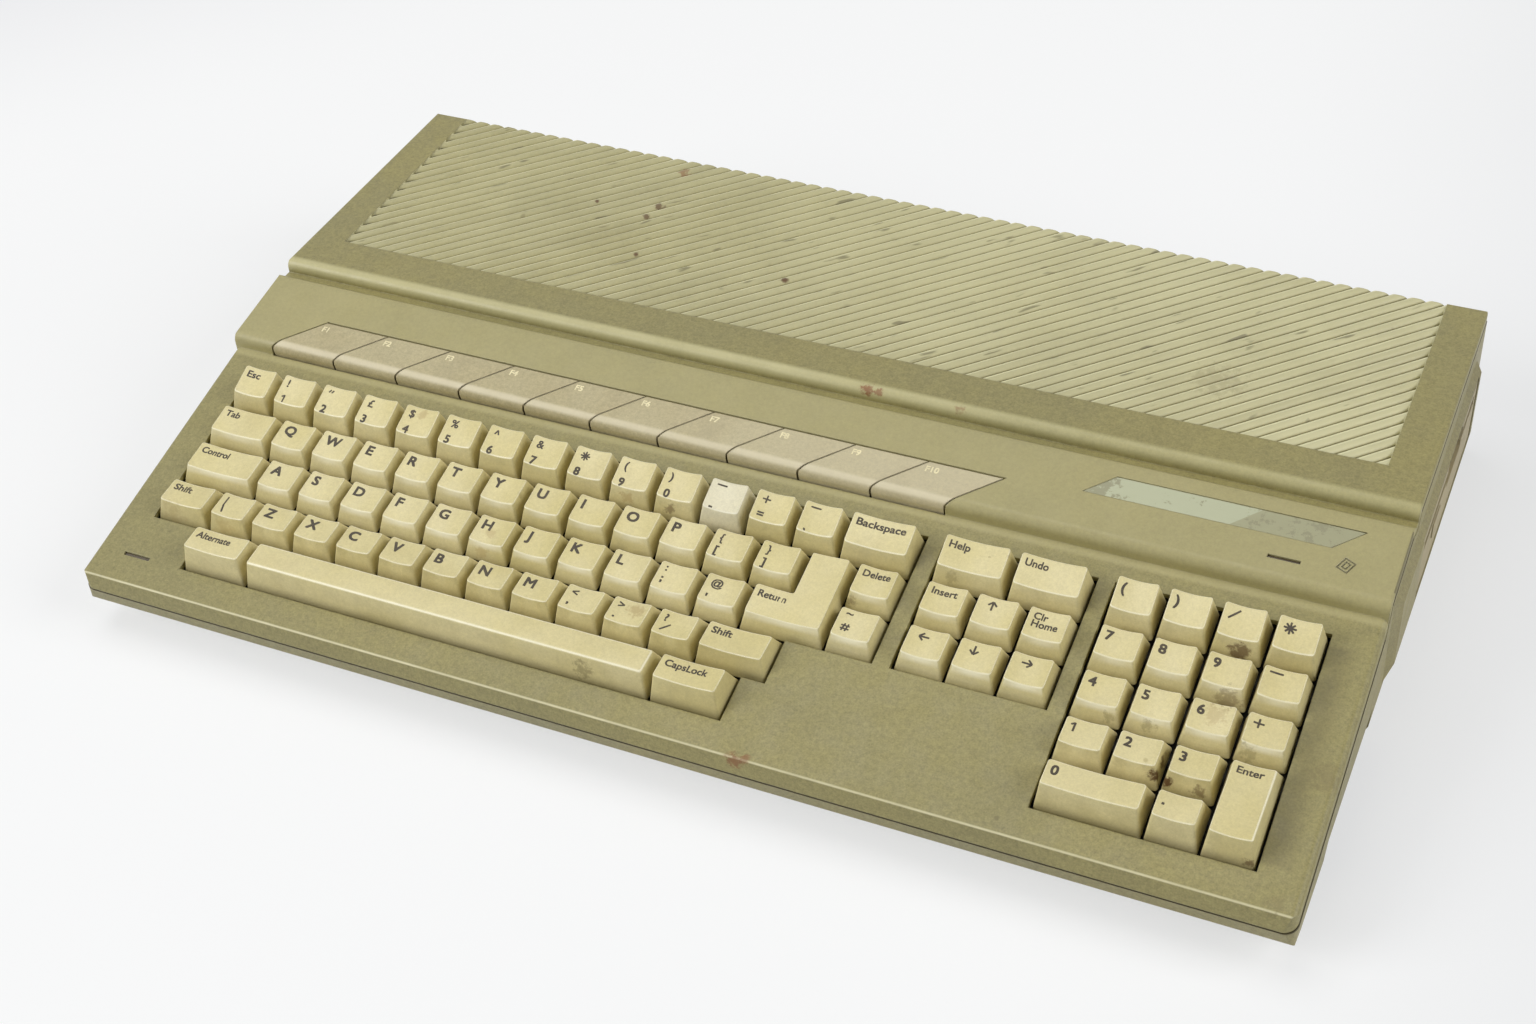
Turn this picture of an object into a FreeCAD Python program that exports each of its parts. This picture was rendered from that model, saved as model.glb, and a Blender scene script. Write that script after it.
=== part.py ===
"""Vintage home computer: a wedge-shaped all-in-one machine with keyboard and disk drive.

Millimetres. X runs to the user's right, Y to the rear, Z up. The origin is the middle of the
bottom of the bounding box, on the surface that the rubber feet stand on.
"""
import FreeCAD, Part
import math
import os

Vector = FreeCAD.Vector

# Case
overall_width = 478.5
overall_depth = 289.0
drive_bulge = 2.5
wall = 2.5
overrun = 2.0
foot_height = 4.0
block_height = 69.0
deck_slope = 12.5
lip_height = 28.6
lip_lean = 1.06
lip_radius = 0.8
seam_front_height = 21.0
seam_drop = 4.0
seam_groove_height = 60.6
seam_step = 5.0
seam_gap = 0.5
cover_side_step = 0.4
tier_from_front = 117.9
tier_slope = 9.8
tier_back_from_front = 154.0
tier_back_height = 66.7
tier_front_radius = 4.5
tier_back_radius = 1.0
groove_height = 63.4
groove_slant = 4.0
block_from_front = 161.2
block_front_radius = 3.5
rear_radius = 1.2
rear_lean = 1.1
deck_edge_radius = 2.6
block_edge_radius = 0.9
front_corner_radius = 5.0
rear_corner_radius = 3.0
underside_front_height = 13.8
underside_front_lean = 1.8
underside_slant_run = 24.0
underside_radius = 3.0
side_top_lean = 0.3
side_low_height = 9.0
side_low_lean = 0.7
side_bottom_lean = 3.0

# Grille of slanted half-round ribs
grille_margin = 16.3
grille_from_front = 182.1
rib_angle = 45.0
rib_pitch = 5.07
rib_phase = 2.2
rib_top_drop = 0.2
grille_backing = 2.0

# Lights, badge and disk mark
light_length = 11.8
light_width = 1.5
light_sink = 0.7
light_lip = 1.2
power_light_from_left = 19.0
power_light_from_front = 13.6
drive_light_from_right = 39.9
drive_light_from_front = 127.8
badge_length = 91.0
badge_depth = 10.2
badge_right_gap = 15.3
badge_from_front = 137.3
badge_recess = 0.9
badge_thickness = 0.7
badge_gap = 0.2
mark_width = 4.7
mark_depth = 5.6
mark_turn = -25.0
mark_line = 0.6
mark_sink = 0.35
mark_right_gap = 16.6
mark_from_front = 128.3

# Keyboard field
key_pitch_share = 0.0398119122
row_pitch = 19.05
keys_from_front = 106.5
keys_from_left_share = 0.0323928945
aperture_gap = 0.5
key_gap = 0.45
cap_skirt = 2.5
cap_side_inset = 2.3
cap_front_inset = 4.5
cap_corner_radius = 1.5
cap_base_radius = 0.9
cap_wall = 1.3
cap_dish = 1.0
cap_dish_margin = 0.6
number_row_rear = 9.1
number_row_front = 7.1
upper_row_rear = 5.6
upper_row_front = 5.7
home_row_rear = 4.7
home_row_front = 5.2
lower_row_rear = 5.8
lower_row_front = 7.0
bottom_row_rear = 8.9
bottom_row_front = 10.0
cap_rear_inset = 2.3
lower_row_inset = 3.6
bottom_row_inset = 4.3
stem_radius = 3.0
stem_clearance = 0.05
wide_stem_share = 0.3

# Key rows: how many pitches each starts from the left edge of the top row
upper_row_start = 1.5
home_row_start = 1.75
lower_row_start = 1.25
bottom_row_start = 1.27
side_key_pitches = 1.5
space_pitches = 9.0
main_block_pitches = 15.5
cursor_block_start = 15.89
keypad_start = 19.26

# Function keys, placed on the deck from the back edge of the top key row
f_key_count = 10
f_key_pitch_share = 0.0614838036
f_key_first_foot = 3.6
f_key_foot = 11.8
f_key_back = 30.2
f_key_lean = 17.4
f_key_straight = 1.2
f_key_gap = 0.35
f_key_skirt = 1.6
f_key_wall = 1.8
f_stem_radius = 2.2
f_stem_share = 0.28

# Key plate and circuit board, measured down from the deck surface
plate_depth = 8.5
plate_thickness = 1.5
plate_margin = 3.0
plate_rear_reach = 33.0
guide_radius = 5.0
guide_height = 3.5
stem_bottom = 9.4
board_depth = 14.0
board_thickness = 1.6
board_margin = 1.0
dome_height = 0.55
standoff_radius = 2.5
cover_post_radius = 2.8
cover_post_setback = 6.0

# Feet and case screws
foot_radius = 6.0
foot_edge = 1.0
foot_side_gap = 35.0
foot_front_gap = 34.5
foot_rear_gap = 20.0
screw_side_gap = 8.3
screw_front_place = 32.0
screw_left_middle_place = 176.0
screw_left_rear_place = 269.5
screw_right_middle_place = 142.0
screw_right_rear_place = 279.0
boss_radius = 5.0
boss_height = 6.0
screw_head_radius = 3.2
screw_head_height = 2.2
screw_head_sink = 1.2
screw_radius = 1.5
screw_clearance = 0.05
screw_length = 14.0
cover_column_radius = 3.6

# Drive opening, bezel and drive
drive_from_front = 164.5
drive_width = 101.6
drive_low = 24.0
drive_height = 28.5
drive_length = 146.0
bulge_front_reach = 42.0
bulge_rear_reach = 8.5
bulge_low = 15.0
bulge_high = 56.5
bulge_slant = 8.0
bezel_thickness = 6.0
bezel_gap = 0.3
bezel_recess = 0.4
slot_length = 92.0
slot_height = 4.6
slot_above_drive = 19.4
finger_width = 27.0
finger_offset = 9.0
finger_height = 12.0
finger_depth = 2.6
eject_width = 13.0
eject_height = 5.6
eject_from_drive_front = 22.0
eject_above_drive = 12.0
eject_gap = 0.25
eject_proud = 0.4
eject_arm = 20.0
eject_arm_height = 3.0
flap_thickness = 1.0
flap_gap = 0.35
flap_pin_radius = 0.9
flap_pin_rise = 1.2
flap_cover = 1.2
flap_pocket = 2.4
flap_pocket_rise = 3.0
sheet = 1.2
drive_wall_height = 27.0
drive_flange = 8.0
drive_plate_height = 8.0
hub_radius = 13.0
hub_height = 3.0
rotor_radius = 27.0
rotor_height = 3.0
hub_shaft_radius = 2.0
hub_from_bezel = 48.0
hub_float = 0.6
rod_radius = 1.5
rod_spread = 44.0
rod_height = 6.0
rod_holder = 4.0
rod_from_end = 2.0
carriage_from_end = 17.2
carriage_length = 22.0
carriage_height = 8.0
carriage_stroke = 14.8
head_arm_length = 26.0
head_arm_width = 10.0
head_arm_height = 3.0
lead_radius = 1.4
lead_offset = 10.0
running_clearance = 0.05
motor_radius = 5.6
motor_length = 14.0
motor_bore = 3.0
drive_board_height = 2.0
drive_board_thickness = 1.6
drive_board_inset = 10.5
drive_post_radius = 3.0

# Mainboard and its screens
mainboard_height = 12.0
mainboard_thickness = 1.6
mainboard_front = 116.0
mainboard_rear_gap = 8.0
mainboard_side_gap = 15.0
mainboard_post_radius = 3.0
middle_post_share = 0.085
screen_sheet = 0.6
screen_base_height = 9.0
screen_lid_height = 21.4
screen_leg_radius = 2.5
chip_height = 3.6
memory_length = 20.0
memory_width = 7.0
rom_length = 36.0
rom_width = 14.0
processor_length = 81.0
processor_width = 20.0
custom_size = 29.0

# Power supply at the rear left
supply_left_gap = 26.0
supply_width = 100.0
supply_from_front = 179.0
supply_rear_gap = 17.0
supply_top = 56.0
supply_sheet = 0.8
supply_board_height = 13.0
supply_board_gap = 2.0
vent_count = 9
vent_width = 2.4
vent_length = 46.0
transformer_width = 38.0
transformer_depth = 32.0
transformer_height = 27.0
capacitor_radius = 9.0
capacitor_height = 30.0
heat_sink_thickness = 3.0
heat_sink_height = 26.0
choke_radius = 10.0
choke_height = 12.0
part_gap = 6.0

# Rear panel, each piece placed from the left of the case
panel_height = 23.0
panel_pad_depth = 3.5
panel_pad_height = 17.0
port_gap = 0.4
port_reach = 5.4
flange_lip = 1.6
reset_from_left = 13.0
reset_radius = 3.5
reset_stem_radius = 2.0
reset_stroke = 2.0
reset_sink = 0.3
reset_cap_length = 5.0
reset_body = 9.0
switch_from_left = 42.0
switch_width = 15.0
switch_height = 21.0
switch_depth = 14.0
switch_frame = 1.5
rocker_tilt = 9.0
rocker_sink = 3.9
rocker_face = 2.5
rocker_back = 1.5
rocker_gap = 0.6
rocker_pin_radius = 1.2
inlet_from_left = 82.0
inlet_width = 28.0
inlet_height = 21.0
inlet_depth = 15.0
inlet_wall = 2.4
inlet_pin_width = 2.0
inlet_pin_height = 4.0
inlet_pin_spread = 7.0
modulator_from_left = 148.0
modulator_width = 42.0
modulator_depth = 26.0
modulator_height = 22.0
phono_radius = 4.2
phono_bore = 1.6
din_radius = 7.6
din_wall = 1.0
din_pin_radius = 0.7
din_pin_ring = 4.2
din_pin_angle = 45.0
din_body_width = 19.0
din_body_depth = 15.0
din_body_height = 18.0
hard_disk_length = 33.0
d_sub_length = 41.0
d_sub_height = 9.4
d_sub_wall = 1.0
d_sub_slant = 2.0
d_sub_body_depth = 9.0
d_sub_flange = 6.0
d_sub_flange_height = 12.5
d_sub_sheet = 1.0
pin_pitch_share = 1.38
# Gaps in the row of sockets right of the modulator, as shares of the width they leave free
socket_gap_shares = (0.0373444, 0.0746888, 0.0746888, 0.0995851, 0.0829876)

# Left side: two round sockets and the cartridge slot
midi_in_from_front = 190.5
midi_out_from_front = 216.5
cartridge_from_front = 116.0
cartridge_length = 54.0
cartridge_low = 15.6
cartridge_height = 10.0
cartridge_body_width = 16.0
cartridge_body_length = 50.0
cartridge_body_height = 14.0
cartridge_mouth = 4.6
cartridge_mouth_depth = 8.0
cartridge_mouth_wall = 2.0
cartridge_setback = 9.0

# Joystick recess under the right front
recess_length = 66.0
recess_front_gap = 44.5
recess_reach = 62.0
recess_height = 19.0
joystick_length = 17.0
joystick_spacing = 33.0

# Ribbon cables
ribbon_thickness = 1.0
ribbon_width = 34.0
ribbon_radius = 4.0
plug_depth = 6.0
plug_height = 6.0

# Places worked out from the sizes above
front = -overall_depth / 2
rear = overall_depth / 2
left = -overall_width / 2
right = overall_width / 2 - drive_bulge
middle = (left + right) / 2
keys_from_left = keys_from_left_share * overall_width
key_pitch = key_pitch_share * overall_width
f_key_pitch = f_key_pitch_share * overall_width
tier_y = front + tier_from_front
tier_back_y = front + tier_back_from_front
block_y = front + block_from_front
ridge_y = front + lip_lean
keys_y = front + keys_from_front
keys_x = left + keys_from_left
inner_left = left + wall + side_bottom_lean / 2
inner_right = right - wall - side_bottom_lean / 2
inner_rear = rear - wall
floor_top = foot_height + wall
screw_top = foot_height + screw_head_sink + screw_head_height + screw_length
mainboard_top = mainboard_height + mainboard_thickness
rear_heights = [number_row_rear, upper_row_rear, home_row_rear, lower_row_rear, bottom_row_rear]
front_heights = [number_row_front, upper_row_front, home_row_front, lower_row_front, bottom_row_front]
rear_insets = [cap_rear_inset, cap_rear_inset, cap_rear_inset, lower_row_inset, bottom_row_inset]
X_AXIS, Y_AXIS, Z_AXIS = Vector(1, 0, 0), Vector(0, 1, 0), Vector(0, 0, 1)


def slope_rise(degrees):
    return math.tan(math.radians(degrees))


def deck_height(y):
    return lip_height + (y - ridge_y) * slope_rise(deck_slope)


def tier_height(y):
    return tier_back_height - (tier_back_y - y) * slope_rise(tier_slope)


deck_origin = Vector(keys_x, keys_y, deck_height(keys_y))
deck_frame = FreeCAD.Placement(deck_origin, FreeCAD.Rotation(X_AXIS, deck_slope)).toMatrix()


def on_deck(shape):
    """Moves a shape drawn flat, with Z = 0 on the deck surface, onto the sloping deck."""
    return shape.transformed(deck_frame)


def box(low, high):
    size = high.sub(low)
    return Part.makeBox(size.x, size.y, size.z, low)


def rod(centre, radius, length, axis=Z_AXIS):
    return Part.makeCylinder(radius, length, centre, axis)


def rounded_edges(points, radii):
    """Edges of a closed outline through 3-D points, each corner rounded by its own radius."""
    count = len(points)
    entries, exits, middles = [], [], []
    for index, point in enumerate(points):
        before = (points[index - 1] - point).normalize()
        after = (points[(index + 1) % count] - point).normalize()
        radius = radii[index]
        half_angle = before.getAngle(after) / 2
        reach = radius / math.tan(half_angle) if radius else 0.0
        entries.append(point + before * reach)
        exits.append(point + after * reach)
        if radius:
            inward = (before + after).normalize()
            centre = point + inward * (radius / math.sin(half_angle))
            middles.append(centre - inward * radius)
        else:
            middles.append(None)
    edges = []
    for index in range(count):
        if middles[index] is not None:
            edges.append(Part.Arc(entries[index], middles[index], exits[index]).toShape())
        start, end = exits[index], entries[(index + 1) % count]
        edges.append(Part.LineSegment(start, end).toShape())
    return edges


def prism(points, radii, sweep):
    """Solid swept from a closed outline of 3-D points."""
    return Part.Face(Part.Wire(rounded_edges(points, radii))).extrude(sweep)


def side_prism(profile, x_from, x_to):
    """Solid swept along X from a profile of (y, z, corner radius)."""
    points = [Vector(x_from, y, z) for y, z, radius in profile]
    return prism(points, [radius for y, z, radius in profile], Vector(x_to - x_from, 0, 0))


def plan_prism(corners, z_from, z_to):
    """Solid swept upward from a plan of (x, y, corner radius)."""
    points = [Vector(x, y, z_from) for x, y, radius in corners]
    return prism(points, [radius for x, y, radius in corners], Vector(0, 0, z_to - z_from))


def inset_path(path, distance):
    """Open (y, z) path moved sideways to its right by a distance, corners kept sharp."""
    sides = []
    for (y0, z0), (y1, z1) in zip(path, path[1:]):
        length = math.hypot(y1 - y0, z1 - z0)
        shift = ((z1 - z0) / length * distance, (y0 - y1) / length * distance)
        sides.append(((y0 + shift[0], z0 + shift[1]), (y1 - y0, z1 - z0)))
    moved = [sides[0][0]]
    for (point, along), (other, across) in zip(sides, sides[1:]):
        turn = along[0] * across[1] - along[1] * across[0]
        gap = (other[0] - point[0], other[1] - point[1])
        share = (gap[0] * across[1] - gap[1] * across[0]) / turn
        moved.append((point[0] + along[0] * share, point[1] + along[1] * share))
    point, along = sides[-1]
    moved.append((point[0] + along[0], point[1] + along[1]))
    return moved


# Case outlines, seen from the left side as (y, z, corner radius)
top_path = [
    (front, seam_front_height, 0),
    (ridge_y, lip_height, lip_radius),
    (tier_y, deck_height(tier_y), 0),
    (tier_y, tier_height(tier_y), tier_front_radius),
    (tier_back_y, tier_back_height, tier_back_radius),
    (tier_back_y + groove_slant, groove_height, 0),
    (block_y, groove_height, 0),
    (block_y, block_height, block_front_radius),
    (rear - rear_lean, block_height, rear_radius),
    (rear, block_height - seam_drop, 0),
]
lip_seam_drop = lip_height - seam_front_height
seam_path = [
    (block_y + seam_step, block_height - seam_drop, 0),
    (block_y + block_edge_radius, seam_groove_height, 0),
    (tier_back_y + groove_slant, seam_groove_height, 0),
    (tier_back_y, tier_back_height - seam_drop, 0),
    (tier_y + seam_step, tier_height(tier_y + seam_step) - seam_drop, 0),
    (tier_y - lip_lean, deck_height(tier_y - lip_lean) - lip_seam_drop, 0),
]
bottom_path = [
    (rear, block_height - seam_drop, 0),
    (rear, foot_height, underside_radius),
    (front + underside_front_lean + underside_slant_run, foot_height, underside_radius),
    (front + underside_front_lean, underside_front_height, underside_radius),
    (front, seam_front_height, 0),
]


def case_envelope():
    """Plan with rounded corners, crossed with the leaning side walls."""
    plan = plan_prism([
        (left, front, front_corner_radius),
        (right, front, front_corner_radius),
        (right, rear, rear_corner_radius),
        (left, rear, rear_corner_radius),
    ], 0, block_height + overrun)
    sides = [
        Vector(left + side_bottom_lean, front - overrun, foot_height),
        Vector(left + side_low_lean, front - overrun, side_low_height),
        Vector(left, front - overrun, seam_front_height),
        Vector(left + side_top_lean, front - overrun, block_height + overrun),
        Vector(right - side_top_lean, front - overrun, block_height + overrun),
        Vector(right, front - overrun, seam_front_height),
        Vector(right - side_low_lean, front - overrun, side_low_height),
        Vector(right - side_bottom_lean, front - overrun, foot_height),
    ]
    return plan.common(prism(sides, [0] * len(sides), Vector(0, overall_depth + 2 * overrun, 0)))


def key_box(start, row, wide, deep, gap, low, high):
    """Block over a cell of key pitches on the flat-drawn deck, grown by a gap."""
    return box(Vector(start * key_pitch - gap, -(row + deep) * row_pitch - gap, low),
               Vector((start + wide) * key_pitch + gap, -row * row_pitch + gap, high))


def key_apertures():
    low, high = -plate_depth, overrun
    shift_end = lower_row_start + 11 + side_key_pitches
    bottom_wide = 2 * side_key_pitches + space_pitches
    cells = [
        (0, 0, main_block_pitches, 3),
        (0, 3, shift_end, 1),
        (bottom_row_start, 4, bottom_wide, 1),
        (cursor_block_start, 0, 3, 3),
        (keypad_start, 0, 4, 5),
    ]
    blocks = [key_box(*cell, aperture_gap, low, high) for cell in cells]
    return [on_deck(block) for block in blocks]


def f_key_plan(first, last, grow, low, high):
    """Slanted plan over function keys first to last on the flat-drawn deck."""
    x_from = f_key_first_foot + first * f_key_pitch - grow
    x_to = f_key_first_foot + last * f_key_pitch + grow
    y_foot, y_bend, y_back = f_key_foot - grow, f_key_foot + f_key_straight, f_key_back + grow
    lean = f_key_lean * (y_back - y_bend) / (f_key_back - y_bend)
    return plan_prism([
        (x_from, y_foot, 0),
        (x_to, y_foot, 0),
        (x_to, y_bend, 0),
        (x_to + lean, y_back, 0),
        (x_from + lean, y_back, 0),
        (x_from, y_bend, 0),
    ], low, high)


def tier_frame(x, y):
    """Matrix that lays a flat-drawn shape on the sloping top of the tier."""
    place = Vector(x, y, tier_height(y))
    return FreeCAD.Placement(place, FreeCAD.Rotation(X_AXIS, tier_slope)).toMatrix()


def badge_outline(shrink, low, high):
    lean = badge_depth - 2 * shrink
    return plan_prism([
        (shrink, shrink, 0),
        (badge_length - shrink, shrink, 0),
        (badge_length + lean - shrink, badge_depth - shrink, 0),
        (lean + shrink, badge_depth - shrink, 0),
    ], low, high).transformed(badge_frame)


badge_frame = tier_frame(right - badge_right_gap - badge_depth - badge_length, front + badge_from_front)
mark_frame = tier_frame(right - mark_right_gap - mark_width, front + mark_from_front)
drive_light_frame = tier_frame(right - drive_light_from_right, front + drive_light_from_front)
power_light_y = -keys_from_front / math.cos(math.radians(deck_slope)) + power_light_from_front
power_light_x = power_light_from_left - keys_from_left


def light_slot(grow, low, high):
    return box(Vector(-light_length / 2 - grow, -light_width / 2 - grow, low),
               Vector(light_length / 2 + grow, light_width / 2 + grow, high))


def at_lights(shape):
    """The same flat-drawn shape at the power light on the deck and the drive light on the tier."""
    power = shape.translated(Vector(power_light_x, power_light_y, 0))
    return [on_deck(power), shape.transformed(drive_light_frame)]


def disk_mark():
    """Engraved square disk outline with a smaller square inside."""
    frames = []
    for layer in range(2):
        shrink = 2 * layer * mark_line
        outer = box(Vector(shrink, shrink, -mark_sink), Vector(mark_width - shrink, mark_depth - shrink, overrun))
        shrink += mark_line
        inner = box(Vector(shrink, shrink, -mark_sink), Vector(mark_width - shrink, mark_depth - shrink, overrun))
        frames.append(outer.cut(inner))
    mark = Part.makeCompound(frames)
    mark.rotate(Vector(mark_width / 2, mark_depth / 2, 0), Z_AXIS, mark_turn)
    return mark.transformed(mark_frame)


grille_left = left + grille_margin
grille_right = right - grille_margin
grille_y = front + grille_from_front


def grille_ribs():
    """Half-round ribs side by side on a thin floor, cut from a slanted sheet of ribs."""
    radius = rib_pitch / 2
    rib_axis_z = block_height - rib_top_drop - radius
    floor_z = rib_axis_z - grille_backing
    reach = (grille_right - grille_left + rear - grille_y) / 2
    count = 2 * math.ceil(reach / rib_pitch) + 2
    start = -count / 2 * rib_pitch + rib_phase
    edges = []
    for index in range(count):
        x = start + index * rib_pitch
        edges.append(Part.Arc(Vector(x, 0, rib_axis_z), Vector(x + radius, 0, rib_axis_z + radius),
                              Vector(x + rib_pitch, 0, rib_axis_z)).toShape())
    end = start + count * rib_pitch
    corners = [Vector(end, 0, rib_axis_z), Vector(end, 0, floor_z),
               Vector(start, 0, floor_z), Vector(start, 0, rib_axis_z)]
    edges += [Part.LineSegment(a, b).toShape() for a, b in zip(corners, corners[1:])]
    length = 2 * reach
    sheet_of_ribs = Part.Face(Part.Wire(edges)).extrude(Vector(0, length, 0))
    sheet_of_ribs.translate(Vector(0, -length / 2, 0))
    sheet_of_ribs.rotate(Vector(0, 0, 0), Z_AXIS, -rib_angle)
    sheet_of_ribs.translate(Vector((grille_left + grille_right) / 2, (grille_y + rear) / 2, 0))
    field = box(Vector(grille_left, grille_y, floor_z), Vector(grille_right, rear, block_height))
    return sheet_of_ribs.common(field)


def screw_places():
    """Plan places of the six case screws."""
    left_x, right_x = left + screw_side_gap, right - screw_side_gap
    left_row = [screw_front_place, screw_left_middle_place, screw_left_rear_place]
    right_row = [screw_front_place, screw_right_middle_place, screw_right_rear_place]
    places = [(left_x, front + place) for place in left_row]
    return places + [(right_x, front + place) for place in right_row]


def outer_height(y):
    """Height of the top surface of the case at a place from the front."""
    if y < tier_y:
        return deck_height(y)
    if y < tier_back_y:
        return tier_height(y)
    return groove_height if y < block_y else block_height


def edge_rounder(y_from, y_to, height_from, height_to, radius):
    """Block under a sloping top, its two long top edges rounded, between two places along Y."""
    along = Vector(0, y_to - y_from, height_to - height_from).normalize()
    up = X_AXIS.cross(along)
    start = Vector(0, y_from, height_from) - along * block_height
    x_from, x_to = left + cover_side_step, right - cover_side_step
    deep = up * (2 * block_height)
    corners = [start + X_AXIS * x_from, start + X_AXIS * x_to,
               start + X_AXIS * x_to - deep, start + X_AXIS * x_from - deep]
    block = prism(corners, [radius, radius, 0, 0], along * (y_to - y_from + 3 * block_height))
    return block.common(box(Vector(left, y_from, -block_height), Vector(right, y_to, 2 * block_height)))


def cover_outside():
    """Solid outer form of the top cover, above the seam."""
    body = side_prism(top_path + seam_path, left, right)
    groove_y = tier_back_y + groove_slant
    rounder = edge_rounder(front, tier_y, deck_height(front), deck_height(tier_y), deck_edge_radius)
    rounder = rounder.fuse([
        edge_rounder(tier_y, groove_y, tier_height(tier_y), tier_height(groove_y), block_edge_radius),
        edge_rounder(groove_y, rear, block_height, block_height, block_edge_radius),
    ])
    step = cover_side_step
    plan = plan_prism([
        (left + step, front, front_corner_radius),
        (right - step, front, front_corner_radius),
        (right - step, rear, rear_corner_radius),
        (left + step, rear, rear_corner_radius),
    ], 0, block_height + overrun)
    return body.common(rounder).common(plan)


def top_cover():
    """Upper case half: deck, function-key tier and ribbed block, with its posts."""
    outside = cover_outside()
    path = inset_path([(y, z) for y, z, radius in top_path], wall)
    void = side_prism([(y, z, 0) for y, z in path]
                      + [(inner_rear, 0, 0), (path[0][0], 0, 0)], inner_left, inner_right)
    shell = outside.cut(void)
    ribs = grille_ribs()
    floor_z = ribs.BoundBox.ZMin
    backing = box(Vector(grille_left - wall, grille_y - wall, floor_z),
                  Vector(grille_right + wall, inner_rear, block_height - wall))
    field = box(Vector(grille_left, grille_y, floor_z), Vector(grille_right, rear, block_height + overrun))
    posts = []
    for x, y in screw_places():
        base = foot_height + boss_height
        posts.append(rod(Vector(x, y, base), cover_column_radius, outer_height(y) - wall / 2 - base))
    for x, y in plate_post_places():
        low, high = -plate_depth, -wall / 2
        posts.append(on_deck(rod(Vector(x, y, low), cover_post_radius, high - low)))
    shell = shell.fuse([backing] + [post.common(outside) for post in posts])
    pockets = key_apertures() + at_lights(light_slot(0, -wall - overrun, overrun))
    pockets.append(on_deck(f_key_plan(0, f_key_count, f_key_gap, -plate_depth / 2, block_height)))
    pockets.append(badge_outline(0, -badge_recess, overrun))
    pockets.append(disk_mark())
    for x, y in screw_places():
        pockets.append(rod(Vector(x, y, 0), screw_radius + screw_clearance, screw_top + overrun))
    return shell.cut([field] + pockets).fuse(ribs.common(outside)).removeSplitter()


def badge_plate():
    return badge_outline(badge_gap, -badge_recess, badge_thickness - badge_recess)


def indicator_lenses():
    """Two sunken light bars, each with a flange under the cover."""
    flange = light_slot(light_lip, -wall - light_lip, -wall)
    bar = light_slot(-running_clearance, -wall - light_lip, -light_sink)
    return Part.makeCompound(at_lights(flange.fuse(bar)))


def d_outline(length, height, y, z, x, depth, grow):
    """Rounded tapering outline of a D-shaped socket, swept along Y."""
    half, rise, slant = length / 2 + grow, height / 2 + grow, d_sub_slant
    corners = [Vector(x - half, y, z + rise), Vector(x + half, y, z + rise),
               Vector(x + half - slant, y, z - rise), Vector(x - half + slant, y, z - rise)]
    radius = d_sub_slant
    return prism(corners, [radius] * len(corners), Vector(0, depth, 0))


def spread(start, end, lengths, gap_shares):
    """Middles of a row of pieces; what they leave free is shared among the gaps before them."""
    spare = end - start - sum(lengths)
    places = []
    for length, share in zip(lengths, gap_shares):
        places.append(start + share * spare + length / 2)
        start = places[-1] + length / 2
    return places


socket_lengths = [din_body_width, din_body_width]
socket_lengths += [length + 2 * d_sub_flange for length in (hard_disk_length, d_sub_length, d_sub_length)]
monitor_x, disk_port_x, hard_disk_x, printer_x, modem_x = spread(
    left + modulator_from_left + modulator_width / 2, left + overall_width, socket_lengths, socket_gap_shares)
d_sub_ports_table = [(hard_disk_x, hard_disk_length), (printer_x, d_sub_length), (modem_x, d_sub_length)]
panel_pad_x = left + modulator_from_left + modulator_width / 2 + part_gap / 2
panel_pad_end = modem_x + d_sub_length / 2 + d_sub_flange + part_gap / 4
panel_y = inner_rear - panel_pad_depth


drive_y = front + drive_from_front
drive_middle = drive_y + drive_width / 2
drive_top = drive_low + drive_height
bezel_face = overall_width / 2 - bezel_recess
bezel_back = bezel_face - bezel_thickness
drive_x = bezel_back - drive_length
slot_low = drive_low + slot_above_drive
slot_y = drive_middle - slot_length / 2
midi_places = [front + midi_in_from_front, front + midi_out_from_front]
midi_height = mainboard_top + din_body_height / 2
supply_x = left + supply_left_gap
supply_y = front + supply_from_front
supply_rear = rear - supply_rear_gap
supply_floor = screen_base_height
board_right = right - mainboard_side_gap
board_left = left + mainboard_side_gap
board_front = front + mainboard_front
board_rear = rear - mainboard_rear_gap
board_inner_left = supply_x + supply_width + part_gap
recess_x = right - recess_reach
recess_y = front + recess_front_gap


def drive_post_places():
    """Plan places of the four posts that carry the disk drive."""
    x_places = [drive_x + 3 * drive_post_radius, bezel_back - 3 * drive_post_radius]
    y_places = [drive_y + 2 * drive_post_radius, drive_y + drive_width - 2 * drive_post_radius]
    return [(x, y) for x in x_places for y in y_places]


def board_post_places():
    """Plan places of the posts under the mainboard and its lower screen."""
    inset = 2 * mainboard_post_radius
    plug_x = drive_plug_place[0]
    middle_x = plug_x - middle_post_share * (plug_x - board_inner_left)
    x_places = [board_inner_left + inset, middle_x, board_right - inset]
    y_places = [board_front + inset, (board_front + board_rear) / 2 + inset, board_rear - 5 * inset]
    return [(x, y) for x in x_places for y in y_places]


def supply_post_places():
    inset = 2 * mainboard_post_radius
    x_places = [supply_x + inset, supply_x + supply_width - inset]
    y_places = [supply_y + inset, supply_rear - inset]
    return [(x, y) for x in x_places for y in y_places]


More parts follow.
